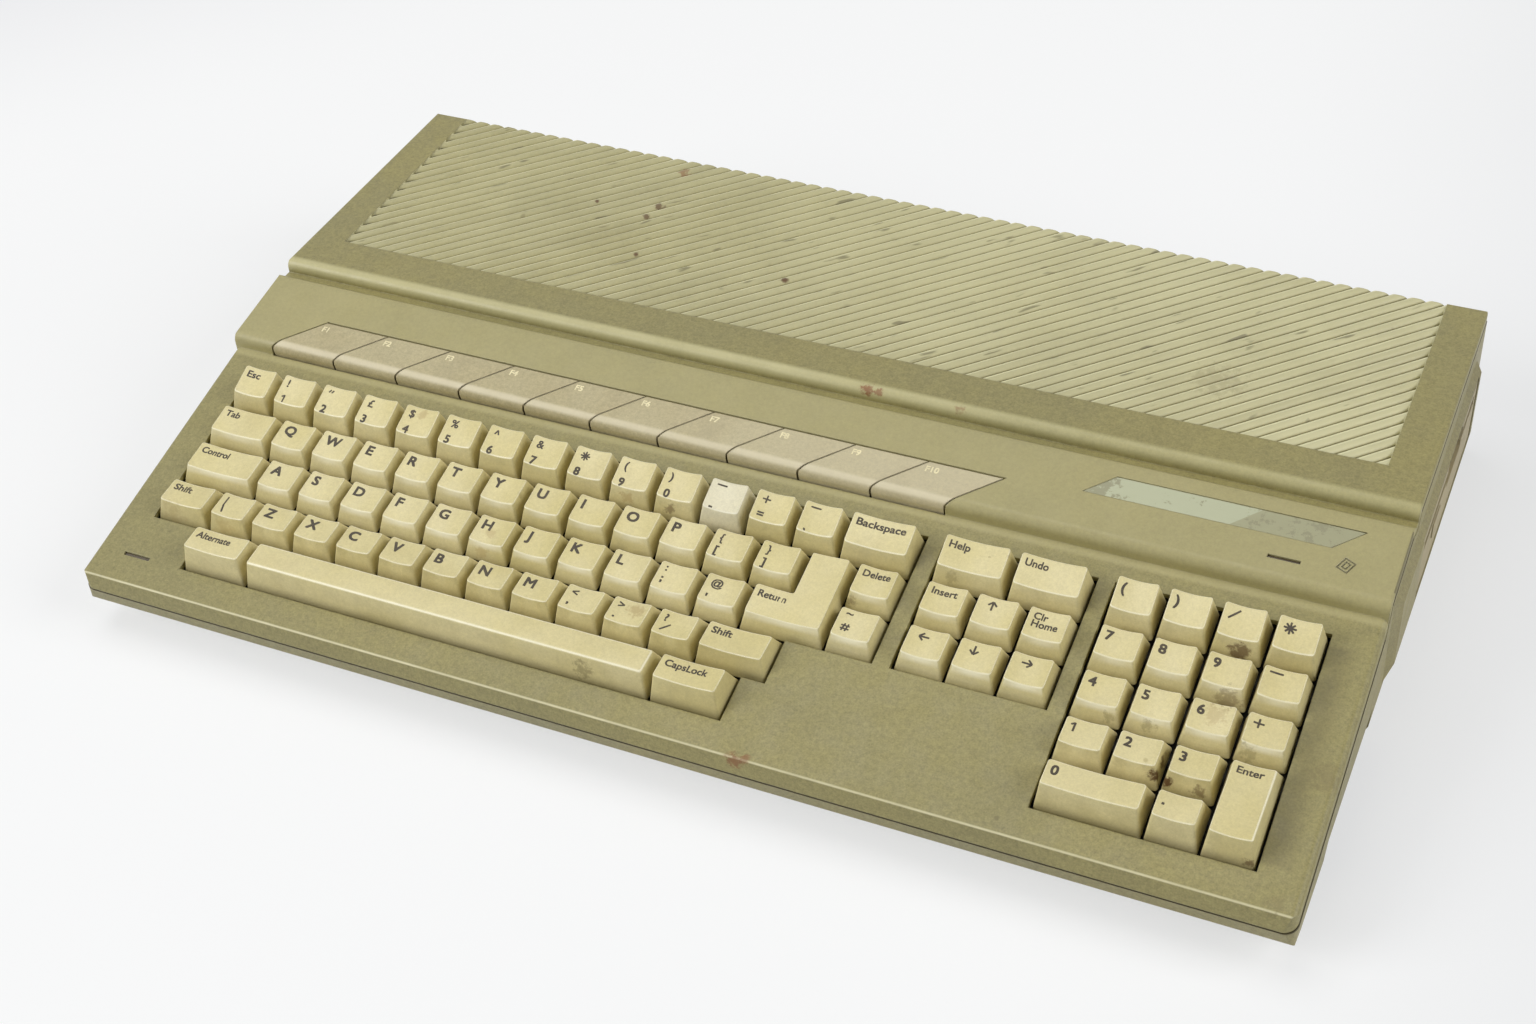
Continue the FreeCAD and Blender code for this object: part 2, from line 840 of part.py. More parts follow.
def bulge():
    """Raised pad on the right wall around the drive, with slanted edges."""
    y_from, y_to = drive_y - bulge_front_reach, drive_y + drive_width + bulge_rear_reach
    outlines = []
    for x, inset in ((right - wall / 2, 0), (overall_width / 2, bulge_slant)):
        y_inset = min(inset, bulge_rear_reach / 2)
        corners = [Vector(x, y_from + inset, bulge_low + inset), Vector(x, y_to - y_inset, bulge_low + inset),
                   Vector(x, y_to - y_inset, bulge_high - inset / 2), Vector(x, y_from + inset, bulge_high - inset / 2)]
        outlines.append(Part.makePolygon(corners + corners[:1]))
    return Part.makeLoft(outlines, True, True)


def port_holes():
    """Openings in the rear and left walls for the sockets, switch and inlet."""
    y_from, deep = panel_y - overrun, wall + panel_pad_depth + 2 * overrun
    holes = []
    for x, length in d_sub_ports_table:
        holes.append(d_outline(length, d_sub_height, y_from, panel_height, x, deep, port_gap))
    for x in (monitor_x, disk_port_x):
        centre = Vector(x, y_from, panel_height)
        holes.append(rod(centre, din_radius + port_gap, deep, Y_AXIS))
    jack = Vector(left + modulator_from_left, y_from, panel_height)
    holes.append(rod(jack, phono_radius + port_gap, deep, Y_AXIS))
    reset = Vector(left + reset_from_left, y_from, panel_height)
    holes.append(rod(reset, reset_radius + running_clearance, deep, Y_AXIS))
    for x, width, height in ((left + switch_from_left, switch_width, switch_height),
                             (left + inlet_from_left, inlet_width, inlet_height)):
        half = Vector(width / 2 + port_gap, 0, height / 2 + port_gap)
        centre = Vector(x, y_from, panel_height)
        holes.append(box(centre - half, centre + half + Y_AXIS * deep))
    for y in midi_places:
        centre = Vector(left - overrun, y, midi_height)
        holes.append(rod(centre, din_radius + port_gap, inner_left - left + 2 * overrun, X_AXIS))
    y = front + cartridge_from_front
    holes.append(box(Vector(left - overrun, y, cartridge_low),
                     Vector(inner_left + overrun, y + cartridge_length, cartridge_low + cartridge_height)))
    return holes


def floor_vents():
    """Row of slots through the floor under the power supply."""
    pitch = supply_width / (vent_count + 1)
    y = (supply_y + supply_rear - vent_length) / 2
    vents = []
    for index in range(vent_count):
        x = supply_x + (index + 1) * pitch
        vents.append(box(Vector(x - vent_width / 2, y, 0),
                         Vector(x + vent_width / 2, y + vent_length, floor_top + overrun)))
    return vents


def bottom_case():
    """Lower case half: tub with bosses, port openings, joystick recess and drive bulge."""
    tub_seam = [(y, z - seam_gap, radius) for y, z, radius in reversed(seam_path)]
    low_path = [(y, z - seam_gap, radius) if z >= seam_front_height else (y, z, radius)
                for y, z, radius in bottom_path]
    tub = side_prism(low_path + tub_seam, left, right).common(case_envelope())
    path = inset_path([(y, z) for y, z, radius in low_path], wall)
    high = block_height + overrun
    void = side_prism([(y, z, 0) for y, z in path]
                      + [(path[-1][0], high, 0), (path[0][0], high, 0)], inner_left, inner_right)
    recess_wall = box(Vector(recess_x - wall, recess_y - wall, foot_height + wall / 2),
                      Vector(inner_right + wall / 2, recess_y + recess_length + wall, recess_height + wall))
    pad_low = panel_height - panel_pad_height / 2
    pad = box(Vector(panel_pad_x, panel_y, pad_low),
              Vector(panel_pad_end, inner_rear + wall / 2, pad_low + panel_pad_height))
    jack_x = left + modulator_from_left
    jack_pad = box(Vector(jack_x - phono_radius - flange_lip, panel_y, panel_height - phono_radius - flange_lip),
                   Vector(jack_x + phono_radius + flange_lip, inner_rear + wall / 2,
                          panel_height + phono_radius + flange_lip))
    posts = [recess_wall, pad, jack_pad, bulge()]
    for x, y in screw_places():
        posts.append(rod(Vector(x, y, foot_height), boss_radius, boss_height))
    for x, y in board_post_places() + supply_post_places():
        posts.append(rod(Vector(x, y, foot_height), mainboard_post_radius, screen_base_height - foot_height))
    for x, y in drive_post_places():
        posts.append(rod(Vector(x, y, foot_height), drive_post_radius, drive_low - foot_height))
    holes = port_holes() + floor_vents()
    holes.append(box(Vector(recess_x, recess_y, 0), Vector(right + overrun, recess_y + recess_length, recess_height)))
    gap = bezel_gap
    holes.append(box(Vector(inner_right - overrun, drive_y - gap, drive_low - gap),
                     Vector(right + 2 * overrun, drive_y + drive_width + gap, drive_top + gap)))
    half = Vector(0, joystick_length / 2 + port_gap, d_sub_height / 2 + port_gap)
    for centre in joystick_places():
        low = centre - half - X_AXIS * (wall + overrun)
        holes.append(box(low, centre + half + X_AXIS * overrun))
    for x, y in screw_places():
        base = Vector(x, y, foot_height - overrun)
        sink = screw_head_sink + screw_head_height
        holes.append(rod(base, screw_head_radius + port_gap, sink + overrun))
        holes.append(rod(base, screw_radius + screw_clearance, boss_height + 2 * overrun))
    return tub.cut(void).fuse(posts).cut(holes).removeSplitter()


def joystick_places():
    """Middles of the two joystick sockets, on the left wall of their recess."""
    y = recess_y + recess_length / 2
    z = floor_top + port_gap + d_sub_flange_height / 2
    return [Vector(recess_x, y + side * joystick_spacing / 2, z) for side in (-1, 1)]


def rubber_feet():
    """Four round feet under the tub."""
    x_places = [left + foot_side_gap, right - foot_side_gap]
    y_places = [front + foot_front_gap, rear - foot_rear_gap]
    feet = [rod(Vector(x, y, 0), foot_radius, foot_height) for x in x_places for y in y_places]
    rounded = []
    for foot in feet:
        rim = [edge for edge in foot.Edges if edge.BoundBox.ZMax < foot_height / 2]
        rounded.append(foot.makeChamfer(foot_edge, rim))
    return Part.makeCompound(rounded)


def case_screws():
    """Six cross-slotted screws up through the tub into the posts of the cover."""
    screws = []
    for x, y in screw_places():
        head = Vector(x, y, foot_height + screw_head_sink)
        screw = rod(head, screw_head_radius, screw_head_height)
        shank = head + Z_AXIS * screw_head_height
        screw = screw.fuse(rod(shank, screw_radius, screw_length))
        arm, half = screw_radius * 1.5, screw_radius / 4
        depth = Z_AXIS * (screw_head_height / 2)
        slots = [box(head - Vector(arm, half, 0), head + Vector(arm, half, 0) + depth),
                 box(head - Vector(half, arm, 0), head + Vector(half, arm, 0) + depth)]
        screws.append(screw.cut(slots))
    return Part.makeCompound(screws)


# Keys: name, then cells of (start, row, pitches wide, rows deep)
def unit_keys(start, row, count):
    return [(start + index, row, 1, 1) for index in range(count)]


lower_row_count = 11
right_shift_start = lower_row_start + lower_row_count
space_start = bottom_row_start + side_key_pitches
last_keypad_column = keypad_start + 3
return_start = upper_row_start + 12
return_low_start = home_row_start + 11
key_table = [
    ("tab_key", [(0, 1, upper_row_start, 1)]),
    ("control_key", [(0, 2, home_row_start, 1)]),
    ("left_shift_key", [(0, 3, lower_row_start, 1)]),
    ("alternate_key", [(bottom_row_start, 4, side_key_pitches, 1)]),
    ("space_bar", [(space_start, 4, space_pitches, 1)]),
    ("caps_lock_key", [(space_start + space_pitches, 4, side_key_pitches, 1)]),
    ("right_shift_key", [(right_shift_start, 3, side_key_pitches, 1)]),
    ("backspace_key", [(main_block_pitches - side_key_pitches, 0, side_key_pitches, 1)]),
    ("keypad_enter_key", [(last_keypad_column, 3, 1, 2)]),
    ("number_row_keys", unit_keys(0, 0, 14)),
    ("upper_row_keys", unit_keys(upper_row_start, 1, 12) + unit_keys(return_start + 1, 1, 1)),
    ("home_row_keys", unit_keys(home_row_start, 2, 11) + unit_keys(return_start + 1, 2, 1)),
    ("lower_row_keys", unit_keys(lower_row_start, 3, lower_row_count)),
    ("help_undo_keys", [(cursor_block_start, 0, side_key_pitches, 1),
                        (cursor_block_start + side_key_pitches, 0, side_key_pitches, 1)]),
    ("cursor_keys", unit_keys(cursor_block_start, 1, 3) + unit_keys(cursor_block_start, 2, 3)),
    ("keypad_keys", unit_keys(keypad_start, 0, 4) + unit_keys(keypad_start, 1, 4)
     + unit_keys(keypad_start, 2, 4) + unit_keys(keypad_start, 3, 3)
     + [(keypad_start, 4, 2, 1), (keypad_start + 2, 4, 1, 1)]),
]


def stems(start, row, wide, deep):
    """Places on the flat-drawn deck of the stems under one key."""
    x, y = (start + wide / 2) * key_pitch, -(row + deep / 2) * row_pitch
    if wide < 2:
        return [(x, y)]
    spread = wide * wide_stem_share * key_pitch
    return [(x - spread, y), (x + spread, y)]


def frustum(low_corners, high_corners, low_radius, high_radius):
    """Solid between two outlines of as many corners, each rounded."""
    outlines = []
    for corners, radius in ((low_corners, low_radius), (high_corners, high_radius)):
        outlines.append(Part.Wire(rounded_edges(corners, [radius] * len(corners))))
    return Part.makeLoft(outlines, True, True)


def cap_outline(cells, side, rear_side, front_side, rear_z, front_z):
    """Corners of a key outline, inset from the edges of its cells; two cells make a step."""
    start, row, wide, deep = cells[-1]
    x_from, x_to = start * key_pitch + side, (start + wide) * key_pitch - side
    top_row = cells[0][1]
    y_rear, y_front = -top_row * row_pitch - rear_side, -(row + deep) * row_pitch + front_side
    plan = [(x_from, y_front), (x_to, y_front), (x_to, y_rear)]
    if len(cells) > 1:
        x_step = cells[0][0] * key_pitch + side
        y_step = -row * row_pitch - rear_side
        plan += [(x_step, y_rear), (x_step, y_step), (x_from, y_step)]
    else:
        plan.append((x_from, y_rear))
    rise = (rear_z - front_z) / (y_rear - y_front)
    return [Vector(x, y, front_z + (y - y_front) * rise) for x, y in plan]


def key_cap(*cells):
    """Hollow key cap with a dished top and round stems, drawn on the flat deck."""
    start, row, wide, deep = cells[-1]
    top_row, last_row = cells[0][1], row + deep - 1
    rear_z, front_z = rear_heights[top_row], front_heights[last_row]
    rear_inset = rear_insets[top_row]
    base = cap_outline(cells, key_gap, key_gap, key_gap, -cap_skirt, -cap_skirt)
    top = cap_outline(cells, cap_side_inset, rear_inset, cap_front_inset, rear_z, front_z)
    cap = frustum(base, top, cap_base_radius, cap_corner_radius)
    inset, drop = key_gap + cap_wall, cap_wall + cap_dish
    low = -cap_skirt - cap_wall
    inner_base = cap_outline(cells, inset, inset, inset, low, low)
    inner_top = cap_outline(cells, cap_side_inset + cap_wall, rear_inset + cap_wall,
                            cap_front_inset + cap_wall, rear_z - drop, front_z - drop)
    cap = cap.cut(frustum(inner_base, inner_top, cap_base_radius, cap_base_radius))
    places = stems(*cells[-1]) if len(cells) < 2 else return_stems()
    rise = (rear_z - front_z) / (top[2].y - top[0].y)
    posts = []
    for x, y in places:
        ceiling = front_z + (y - top[0].y) * rise - cap_dish - cap_wall / 2
        posts.append(rod(Vector(x, y, -stem_bottom), stem_radius, stem_bottom + ceiling))
    cap = cap.fuse(posts)
    if wide < space_pitches:
        cap = cap.cut(dish(top))
    return cap


def dish(top):
    """Long cylinder that sinks a shallow dish into a sloping cap top."""
    x_from, x_to = min(point.x for point in top), max(point.x for point in top)
    rear_point, front_point = max(top, key=lambda point: point.y), min(top, key=lambda point: point.y)
    half_chord = (x_to - x_from) / 2 - cap_dish_margin
    radius = (half_chord ** 2 + cap_dish ** 2) / (2 * cap_dish)
    middle_x = (x_from + x_to) / 2
    along = Vector(0, rear_point.y - front_point.y, rear_point.z - front_point.z).normalize()
    up = X_AXIS.cross(along)
    centre = Vector(middle_x, front_point.y, front_point.z) + up * (radius - cap_dish)
    length = rear_point.y - front_point.y + 4 * row_pitch
    return rod(centre - along * (2 * row_pitch), radius, length, along)


def return_stems():
    """Two stems under the stepped key: one in each of its rows."""
    x = (return_start + 1 / 2) * key_pitch
    return [(x, -(1 + 1 / 2) * row_pitch), (x, -(2 + 1 / 2) * row_pitch)]


return_cells = [(return_start, 1, 1, 1), (return_low_start, 2, return_start + 1 - return_low_start, 1)]


def f_key_stems(index):
    """Places of the two stems under one slanted function key."""
    y = (f_key_foot + f_key_back) / 2
    lean = f_key_lean * (y - f_key_foot - f_key_straight) / (f_key_back - f_key_foot - f_key_straight)
    x = f_key_first_foot + (index + 1 / 2) * f_key_pitch + lean
    spread = f_stem_share * f_key_pitch
    return [(x - spread, y), (x + spread, y)]


def f_key(index):
    """Slanted function key cut from the form of the tier, hollow, on two stems."""
    profile = [(tier_y, 0, 0), (tier_y, tier_height(tier_y), tier_front_radius),
               (tier_back_y, tier_back_height, 0), (tier_back_y, 0, 0)]
    form = side_prism(profile, left, right)
    path = inset_path([(y, z) for y, z, radius in profile], f_key_wall)
    inner_form = side_prism([(y, z, 0) for y, z in path], left, right)
    high = block_height
    body = on_deck(f_key_plan(index, index + 1, -f_key_gap, -f_key_skirt, high)).common(form)
    inset = f_key_gap + f_key_wall
    hollow = on_deck(f_key_plan(index, index + 1, -inset, -f_key_skirt - overrun, high))
    body = body.cut(hollow.common(inner_form))
    posts = []
    for x, y in f_key_stems(index):
        posts.append(on_deck(rod(Vector(x, y, -stem_bottom), f_stem_radius, stem_bottom + plate_depth)))
    return body.fuse([post.common(form) for post in posts])


def all_stems():
    """Every stem as (x, y, stem radius, guide radius)."""
    places = [(x, y, f_stem_radius, guide_radius - stem_radius + f_stem_radius)
              for index in range(f_key_count) for x, y in f_key_stems(index)]
    places += [(x, y, stem_radius, guide_radius) for x, y in return_stems()]
    for name, cells in key_table:
        for cell in cells:
            places += [(x, y, stem_radius, guide_radius) for x, y in stems(*cell)]
    return places


def plate_size():
    """Corners (x, y) of the key plate on the flat-drawn deck."""
    wide = (keypad_start + 4) * key_pitch
    return -plate_margin, wide + plate_margin, -5 * row_pitch - plate_margin, plate_rear_reach


def plate_post_places():
    """Places on the flat-drawn deck of the cover posts that hold the key plate."""
    x_from, x_to, y_from, y_to = plate_size()
    back = cover_post_setback
    span = (x_to - x_from - 4 * cover_post_radius) / 4
    places = [(x_from + 2 * cover_post_radius + index * span, back) for index in range(5)]
    cursor_x = (cursor_block_start + 3 / 2) * key_pitch
    low_y = -(4 + 1 / 2) * row_pitch
    places += [(cursor_x, low_y), (key_pitch / 2, low_y), (main_block_pitches * key_pitch, low_y)]
    return places


def standoff_places():
    """Places of the short posts that hang the circuit board under the key plate."""
    x_from, x_to, y_from, y_to = plate_size()
    inset = 2 * standoff_radius
    x_places = [x_from + inset, cursor_block_start * key_pitch - key_gap, x_to - inset]
    return [(x, y) for x in x_places for y in (y_from + inset, y_to - inset)]


def key_plate():
    """Perforated plate with a guide tube round every key stem."""
    x_from, x_to, y_from, y_to = plate_size()
    plate = box(Vector(x_from, y_from, -plate_depth - plate_thickness), Vector(x_to, y_to, -plate_depth))
    base = -plate_depth - plate_thickness
    places = all_stems()
    tubes = [rod(Vector(x, y, base), guide, plate_thickness + guide_height) for x, y, stem, guide in places]
    drop = board_depth + base
    tubes += [rod(Vector(x, y, base - drop), standoff_radius, drop) for x, y in standoff_places()]
    bores = [rod(Vector(x, y, base - overrun), stem + stem_clearance, plate_thickness + guide_height + 2 * overrun)
             for x, y, stem, guide in places]
    return on_deck(plate.fuse(tubes).cut(bores))


def keyboard_circuit_board():
    """Circuit board with a rubber dome under every key stem."""
    x_from, x_to, y_from, y_to = plate_size()
    margin = board_margin
    board = box(Vector(x_from + margin, y_from + margin, -board_depth - board_thickness),
                Vector(x_to - margin, y_to - margin, -board_depth))
    domes = []
    for x, y, stem, guide in all_stems():
        base, top = Vector(x, y, -board_depth), stem + dome_height
        domes.append(Part.makeCone(stem + 2 * dome_height, top, dome_height, base))
    return on_deck(Part.makeCompound([board] + domes))


def mainboard():
    """L-shaped circuit board with a strip at the left for the round sockets."""
    strip_x = supply_x - part_gap / 6
    strip_y = midi_places[1] + din_body_width / 2
    inner_y = supply_y - supply_board_gap
    corners = [
        (board_left, board_front, 0), (board_right, board_front, 0),
        (board_right, board_rear, 0), (board_inner_left, board_rear, 0),
        (board_inner_left, inner_y, 0), (strip_x, inner_y, 0),
        (strip_x, strip_y, 0), (board_left, strip_y, 0),
    ]
    board = plan_prism(corners, mainboard_height, mainboard_top)
    return board.cut(drive_post_holes())


def drive_post_holes():
    return [rod(Vector(x, y, foot_height), drive_post_radius + port_gap, drive_low) for x, y in drive_post_places()]


# Chips on the mainboard: gaps before the columns left of the drive's plug and right of it, as shares
# of the free width there, and places from the front as shares of the board's depth
big_chip_gap_shares = (0.2353, 0.1812, 0.1040)
small_chip_gap_shares = (0.1767, 0.0992, 0.0992, 0.0992, 0.0320, 0.0730)
processor_share = 0.30
custom_shares = (0.22, 0.62)
memory_shares = (0.16, 0.35, 0.54, 0.73)
rom_shares = (0.24, 0.58)


def mainboard_chips():
    """Processor, custom chips, read-only and working memory."""
    deep = board_rear - board_front
    plug_from, plug_to = drive_plug_place[0] - plug_depth / 2, drive_plug_place[0] + plug_depth / 2
    columns = [(processor_width, processor_length, [processor_share])]
    columns += [(custom_size, custom_size, custom_shares)] * 2
    middles = spread(board_inner_left + 3 * mainboard_post_radius, plug_from, [width for width, length, shares in columns],
                     big_chip_gap_shares)
    small = [(memory_width, memory_length, memory_shares)] * 4 + [(rom_width, rom_length, rom_shares)] * 2
    middles += spread(plug_to, board_right, [width for width, length, shares in small], small_chip_gap_shares)
    chips = []
    for x, (width, length, shares) in zip(middles, columns + small):
        for share in shares:
            centre = Vector(x, board_front + deep * share, mainboard_top)
            half = Vector(width / 2, length / 2, 0)
            chips.append(box(centre - half, centre + half + Z_AXIS * chip_height))
    return Part.makeCompound(chips)


def screen_area(y_to, low, high):
    return box(Vector(board_inner_left, board_front, low), Vector(board_right, y_to, high))


def shield_base():
    """Sheet screen under the mainboard, with spacers that carry the board."""
    tray = screen_area(board_rear, screen_base_height, screen_base_height + screen_sheet)
    legs = [rod(Vector(x, y, screen_base_height), screen_leg_radius, mainboard_height - screen_base_height)
            for x, y in board_post_places()]
    return tray.fuse(legs).cut(drive_post_holes())


def shield_lid():
    """Sheet screen over the mainboard on legs, with openings for the ribbon cables."""
    rear_edge = board_rear - 9 * mainboard_post_radius
    lid = screen_area(rear_edge, screen_lid_height, screen_lid_height + screen_sheet)
    legs = [rod(Vector(x, y, mainboard_top), screen_leg_radius, screen_lid_height - mainboard_top)
            for x, y in board_post_places()]
    holes = drive_post_holes()
    for x_middle, y_middle, width, depth in (drive_plug_place, key_plug_place):
        half = Vector(width / 2 + part_gap / 2, depth / 2 + part_gap / 2, 0)
        centre = Vector(x_middle, y_middle, mainboard_top)
        holes.append(box(centre - half, centre + half + Z_AXIS * screen_lid_height))
    return lid.fuse(legs).cut(holes)


def power_supply_cage():
    """Sheet tray on the tub's posts with a slotted lid on its rim."""
    low, high = supply_floor, supply_top
    rim = (low + high) / 2
    thin = Vector(supply_sheet, supply_sheet, supply_sheet)
    corner, far = Vector(supply_x, supply_y, low), Vector(supply_x + supply_width, supply_rear, high)
    tray = box(corner, Vector(far.x, far.y, rim)).cut(box(corner + thin, Vector(far.x, far.y, high) - thin))
    legs = [rod(Vector(x, y, low), mainboard_post_radius, supply_board_height - low)
            for x, y in supply_post_places()]
    lid = box(Vector(corner.x, corner.y, rim), far).cut(box(corner + thin, far - thin))
    pitch = supply_width / (vent_count + 1)
    y = (supply_y + supply_rear - vent_length) / 2
    slots = []
    for index in range(vent_count):
        x = supply_x + (index + 1) * pitch
        slots.append(box(Vector(x - vent_width / 2, y, rim), Vector(x + vent_width / 2, y + vent_length, high)))
        slots.append(box(Vector(x - vent_width / 2, y, 0), Vector(x + vent_width / 2, y + vent_length, low + wall)))
    return Part.makeCompound([tray.fuse(legs).cut(slots), lid.cut(slots)])


def power_supply_board():
    """Circuit board with transformer, capacitors, heat sink and choke."""
    inset = supply_sheet + supply_board_gap
    low = Vector(supply_x + inset, supply_y + inset, supply_board_height)
    high = Vector(supply_x + supply_width - inset, supply_rear - inset, supply_board_height + mainboard_thickness)
    top = Vector(low.x, low.y, high.z)
    corner = top + Vector(part_gap, part_gap, 0)
    transformer = box(corner, corner + Vector(transformer_width, transformer_depth, transformer_height))
    pieces = [box(low, high), transformer]
    step = 2 * capacitor_radius + part_gap / 2
    first = corner + Vector(transformer_width + part_gap + capacitor_radius, capacitor_radius, 0)
    pieces += [rod(first + X_AXIS * (index * step), capacitor_radius, capacitor_height) for index in range(2)]
    pieces.append(rod(first + Y_AXIS * (2 * step), choke_radius, choke_height).cut(
        rod(first + Y_AXIS * (2 * step), choke_radius / 2, choke_height)))
    back = Vector(corner.x, corner.y + transformer_depth + part_gap, top.z)
    pieces.append(box(back, back + Vector(transformer_width, heat_sink_thickness, heat_sink_height)))
    pieces.append(box(back + Y_AXIS * heat_sink_thickness,
                      back + Vector(memory_width, heat_sink_thickness + chip_height, memory_length)))
    return Part.makeCompound(pieces)


def panel_block(from_left, width, height, y_from, y_to, grow=0):
    """Block centred on one of the rear panel's places."""
    x, half, rise = left + from_left, width / 2 + grow, height / 2 + grow
    return box(Vector(x - half, y_from, panel_height - rise), Vector(x + half, y_to, panel_height + rise))


port_face = rear - reset_sink


def mains_inlet():
    """Three-pin mains inlet with a flange inside the rear wall."""
    body = panel_block(inlet_from_left, inlet_width, inlet_height, port_face - inlet_depth, port_face)
    flange = panel_block(inlet_from_left, inlet_width, inlet_height, inner_rear - flange_lip, inner_rear, flange_lip)
    floor_y = port_face - inlet_depth + inlet_wall
    well = panel_block(inlet_from_left, inlet_width, inlet_height, floor_y, rear, -inlet_wall)
    pins = []
    for across, rise in ((-1, -1 / 2), (1, -1 / 2), (0, 1 / 2)):
        centre = Vector(left + inlet_from_left + across * inlet_pin_spread, floor_y,
                        panel_height + rise * inlet_pin_height)
        half = Vector(inlet_pin_width / 2, 0, inlet_pin_height / 2)
        pins.append(box(centre - half, centre + half + Y_AXIS * (inlet_depth - 2 * inlet_wall)))
    return body.fuse(flange).cut(well).fuse(pins)


rocker_pin = Vector(left + switch_from_left, port_face - rocker_sink, panel_height)


def rear_switch_bodies():
    """Frame of the mains rocker and the guide block of the reset button."""
    body = panel_block(switch_from_left, switch_width, switch_height, inner_rear - switch_depth, port_face)
    flange = panel_block(switch_from_left, switch_width, switch_height,
                         inner_rear - flange_lip, inner_rear, flange_lip)
    well = panel_block(switch_from_left, switch_width, switch_height,
                       rocker_pin.y - rocker_sink, rear, -switch_frame)
    half = switch_width / 2 - running_clearance
    bore = rod(rocker_pin - X_AXIS * half, rocker_pin_radius + running_clearance, 2 * half, X_AXIS)
    guide = panel_block(reset_from_left, reset_body, reset_body, inner_rear - reset_body, inner_rear)
    centre = Vector(left + reset_from_left, inner_rear - reset_body, panel_height)
    stop = port_face - reset_cap_length - reset_stroke - port_gap
    pocket = rod(Vector(centre.x, stop, centre.z), reset_radius + port_gap, inner_rear - stop, Y_AXIS)
    stem_bore = rod(centre, reset_stem_radius + running_clearance, reset_body, Y_AXIS)
    return Part.makeCompound([body.fuse(flange).cut([well, bore]), guide.cut([pocket, stem_bore])])


def power_switch_rocker():
    """Rocker tilted to its off side, on a pin through the frame's cheeks."""
    half_width = switch_width / 2 - switch_frame - rocker_gap
    half_height = switch_height / 2 - switch_frame - rocker_gap
    rocker = box(rocker_pin - Vector(half_width, rocker_back, half_height),
                 rocker_pin + Vector(half_width, rocker_face, half_height))
    rocker.rotate(rocker_pin, X_AXIS, -rocker_tilt)
    reach = switch_width / 2 - 2 * running_clearance
    return rocker.fuse(rod(rocker_pin - X_AXIS * reach, rocker_pin_radius, 2 * reach, X_AXIS))


def reset_button():
    """Round push button with a thinner stem in its guide."""
    end = Vector(left + reset_from_left, port_face - reset_cap_length, panel_height)
    cap = rod(end, reset_radius, reset_cap_length, Y_AXIS)
    stem = reset_cap_length
    return cap.fuse(rod(end - Y_AXIS * stem, reset_stem_radius, stem, Y_AXIS))


def d_sub(length):
    """D-shaped socket drawn at the origin, its flange behind Y = 0 and its shell facing +Y."""
    rise = d_sub_height / 2
    flange_half = length / 2 + d_sub_flange
    flange = box(Vector(-flange_half, -d_sub_sheet, -d_sub_flange_height / 2),
                 Vector(flange_half, 0, d_sub_flange_height / 2))
    shell = d_outline(length, d_sub_height, 0, 0, 0, port_reach, 0)
    shell = shell.cut(d_outline(length, d_sub_height, d_sub_wall, 0, 0, port_reach, -d_sub_wall))
    tongue = d_outline(length, d_sub_height, 0, 0, 0, port_reach - d_sub_wall, -2 * d_sub_wall)
    holes = []
    pitch = pin_pitch_share * d_sub_slant
    for row, rise_share in ((0, 0.15), (1, -0.15)):
        count = int((length - 4 * d_sub_wall - d_sub_slant) / pitch) - row
        for index in range(count):
            x = (index - (count - 1) / 2) * pitch
            holes.append(rod(Vector(x, d_sub_wall, rise_share * d_sub_height), d_sub_wall / 2, port_reach, Y_AXIS))
    body = box(Vector(-length / 2, -d_sub_sheet - d_sub_body_depth, -rise),
               Vector(length / 2, -d_sub_sheet, rise))
    return shell.fuse([flange, tongue.cut(holes), body])


def d_sub_ports():
    """Three D-shaped sockets at the rear, each on a foot on the mainboard."""
    ports = []
    for x, length in d_sub_ports_table:
        port = d_sub(length).translated(Vector(x, panel_y, panel_height))
        low = Vector(x - length / 2, panel_y - d_sub_sheet - d_sub_body_depth, mainboard_top)
        foot = box(low, low + Vector(length, d_sub_body_depth, panel_height - mainboard_top))
        ports.append(port.fuse(foot))
    return Part.makeCompound(ports)


def joystick_ports():
    """Two small D-shaped sockets facing right into the recess."""
    ports = []
    for place in joystick_places():
        port = d_sub(joystick_length)
        port.rotate(Vector(0, 0, 0), Z_AXIS, -90)
        port.translate(place - X_AXIS * wall)
        ports.append(port)
    return Part.makeCompound(ports)


def din_socket(reach, below):
    """Round socket drawn at the origin, its body behind Y = 0 and its shell facing +Y."""
    half = din_body_width / 2
    body = box(Vector(-half, -din_body_depth, -below), Vector(half, 0, din_body_height / 2))
    shell = rod(Vector(0, 0, 0), din_radius, reach, Y_AXIS)
    shell = shell.cut(rod(Vector(0, 0, 0), din_radius - din_wall, reach, Y_AXIS))
    core = rod(Vector(0, 0, 0), din_radius - 2 * din_wall, reach - din_wall, Y_AXIS)
    holes = []
    for index in range(5):
        angle = math.radians(index * din_pin_angle)
        centre = Vector(math.cos(angle) * din_pin_ring, 0, math.sin(angle) * din_pin_ring)
        holes.append(rod(centre, din_pin_radius, reach, Y_AXIS))
    return body.fuse([shell, core.cut(holes)])


def din_ports():
    """Two round sockets at the rear and two at the left, on the mainboard."""
    ports = []
    for x in (monitor_x, disk_port_x):
        port = din_socket(port_reach, panel_height - mainboard_top)
        ports.append(port.translated(Vector(x, panel_y, panel_height)))
    for y in midi_places:
        port = din_socket(inner_left - left - port_gap, midi_height - mainboard_top)
        port.rotate(Vector(0, 0, 0), Z_AXIS, 90)
        ports.append(port.translated(Vector(inner_left, y, midi_height)))
    return Part.makeCompound(ports)


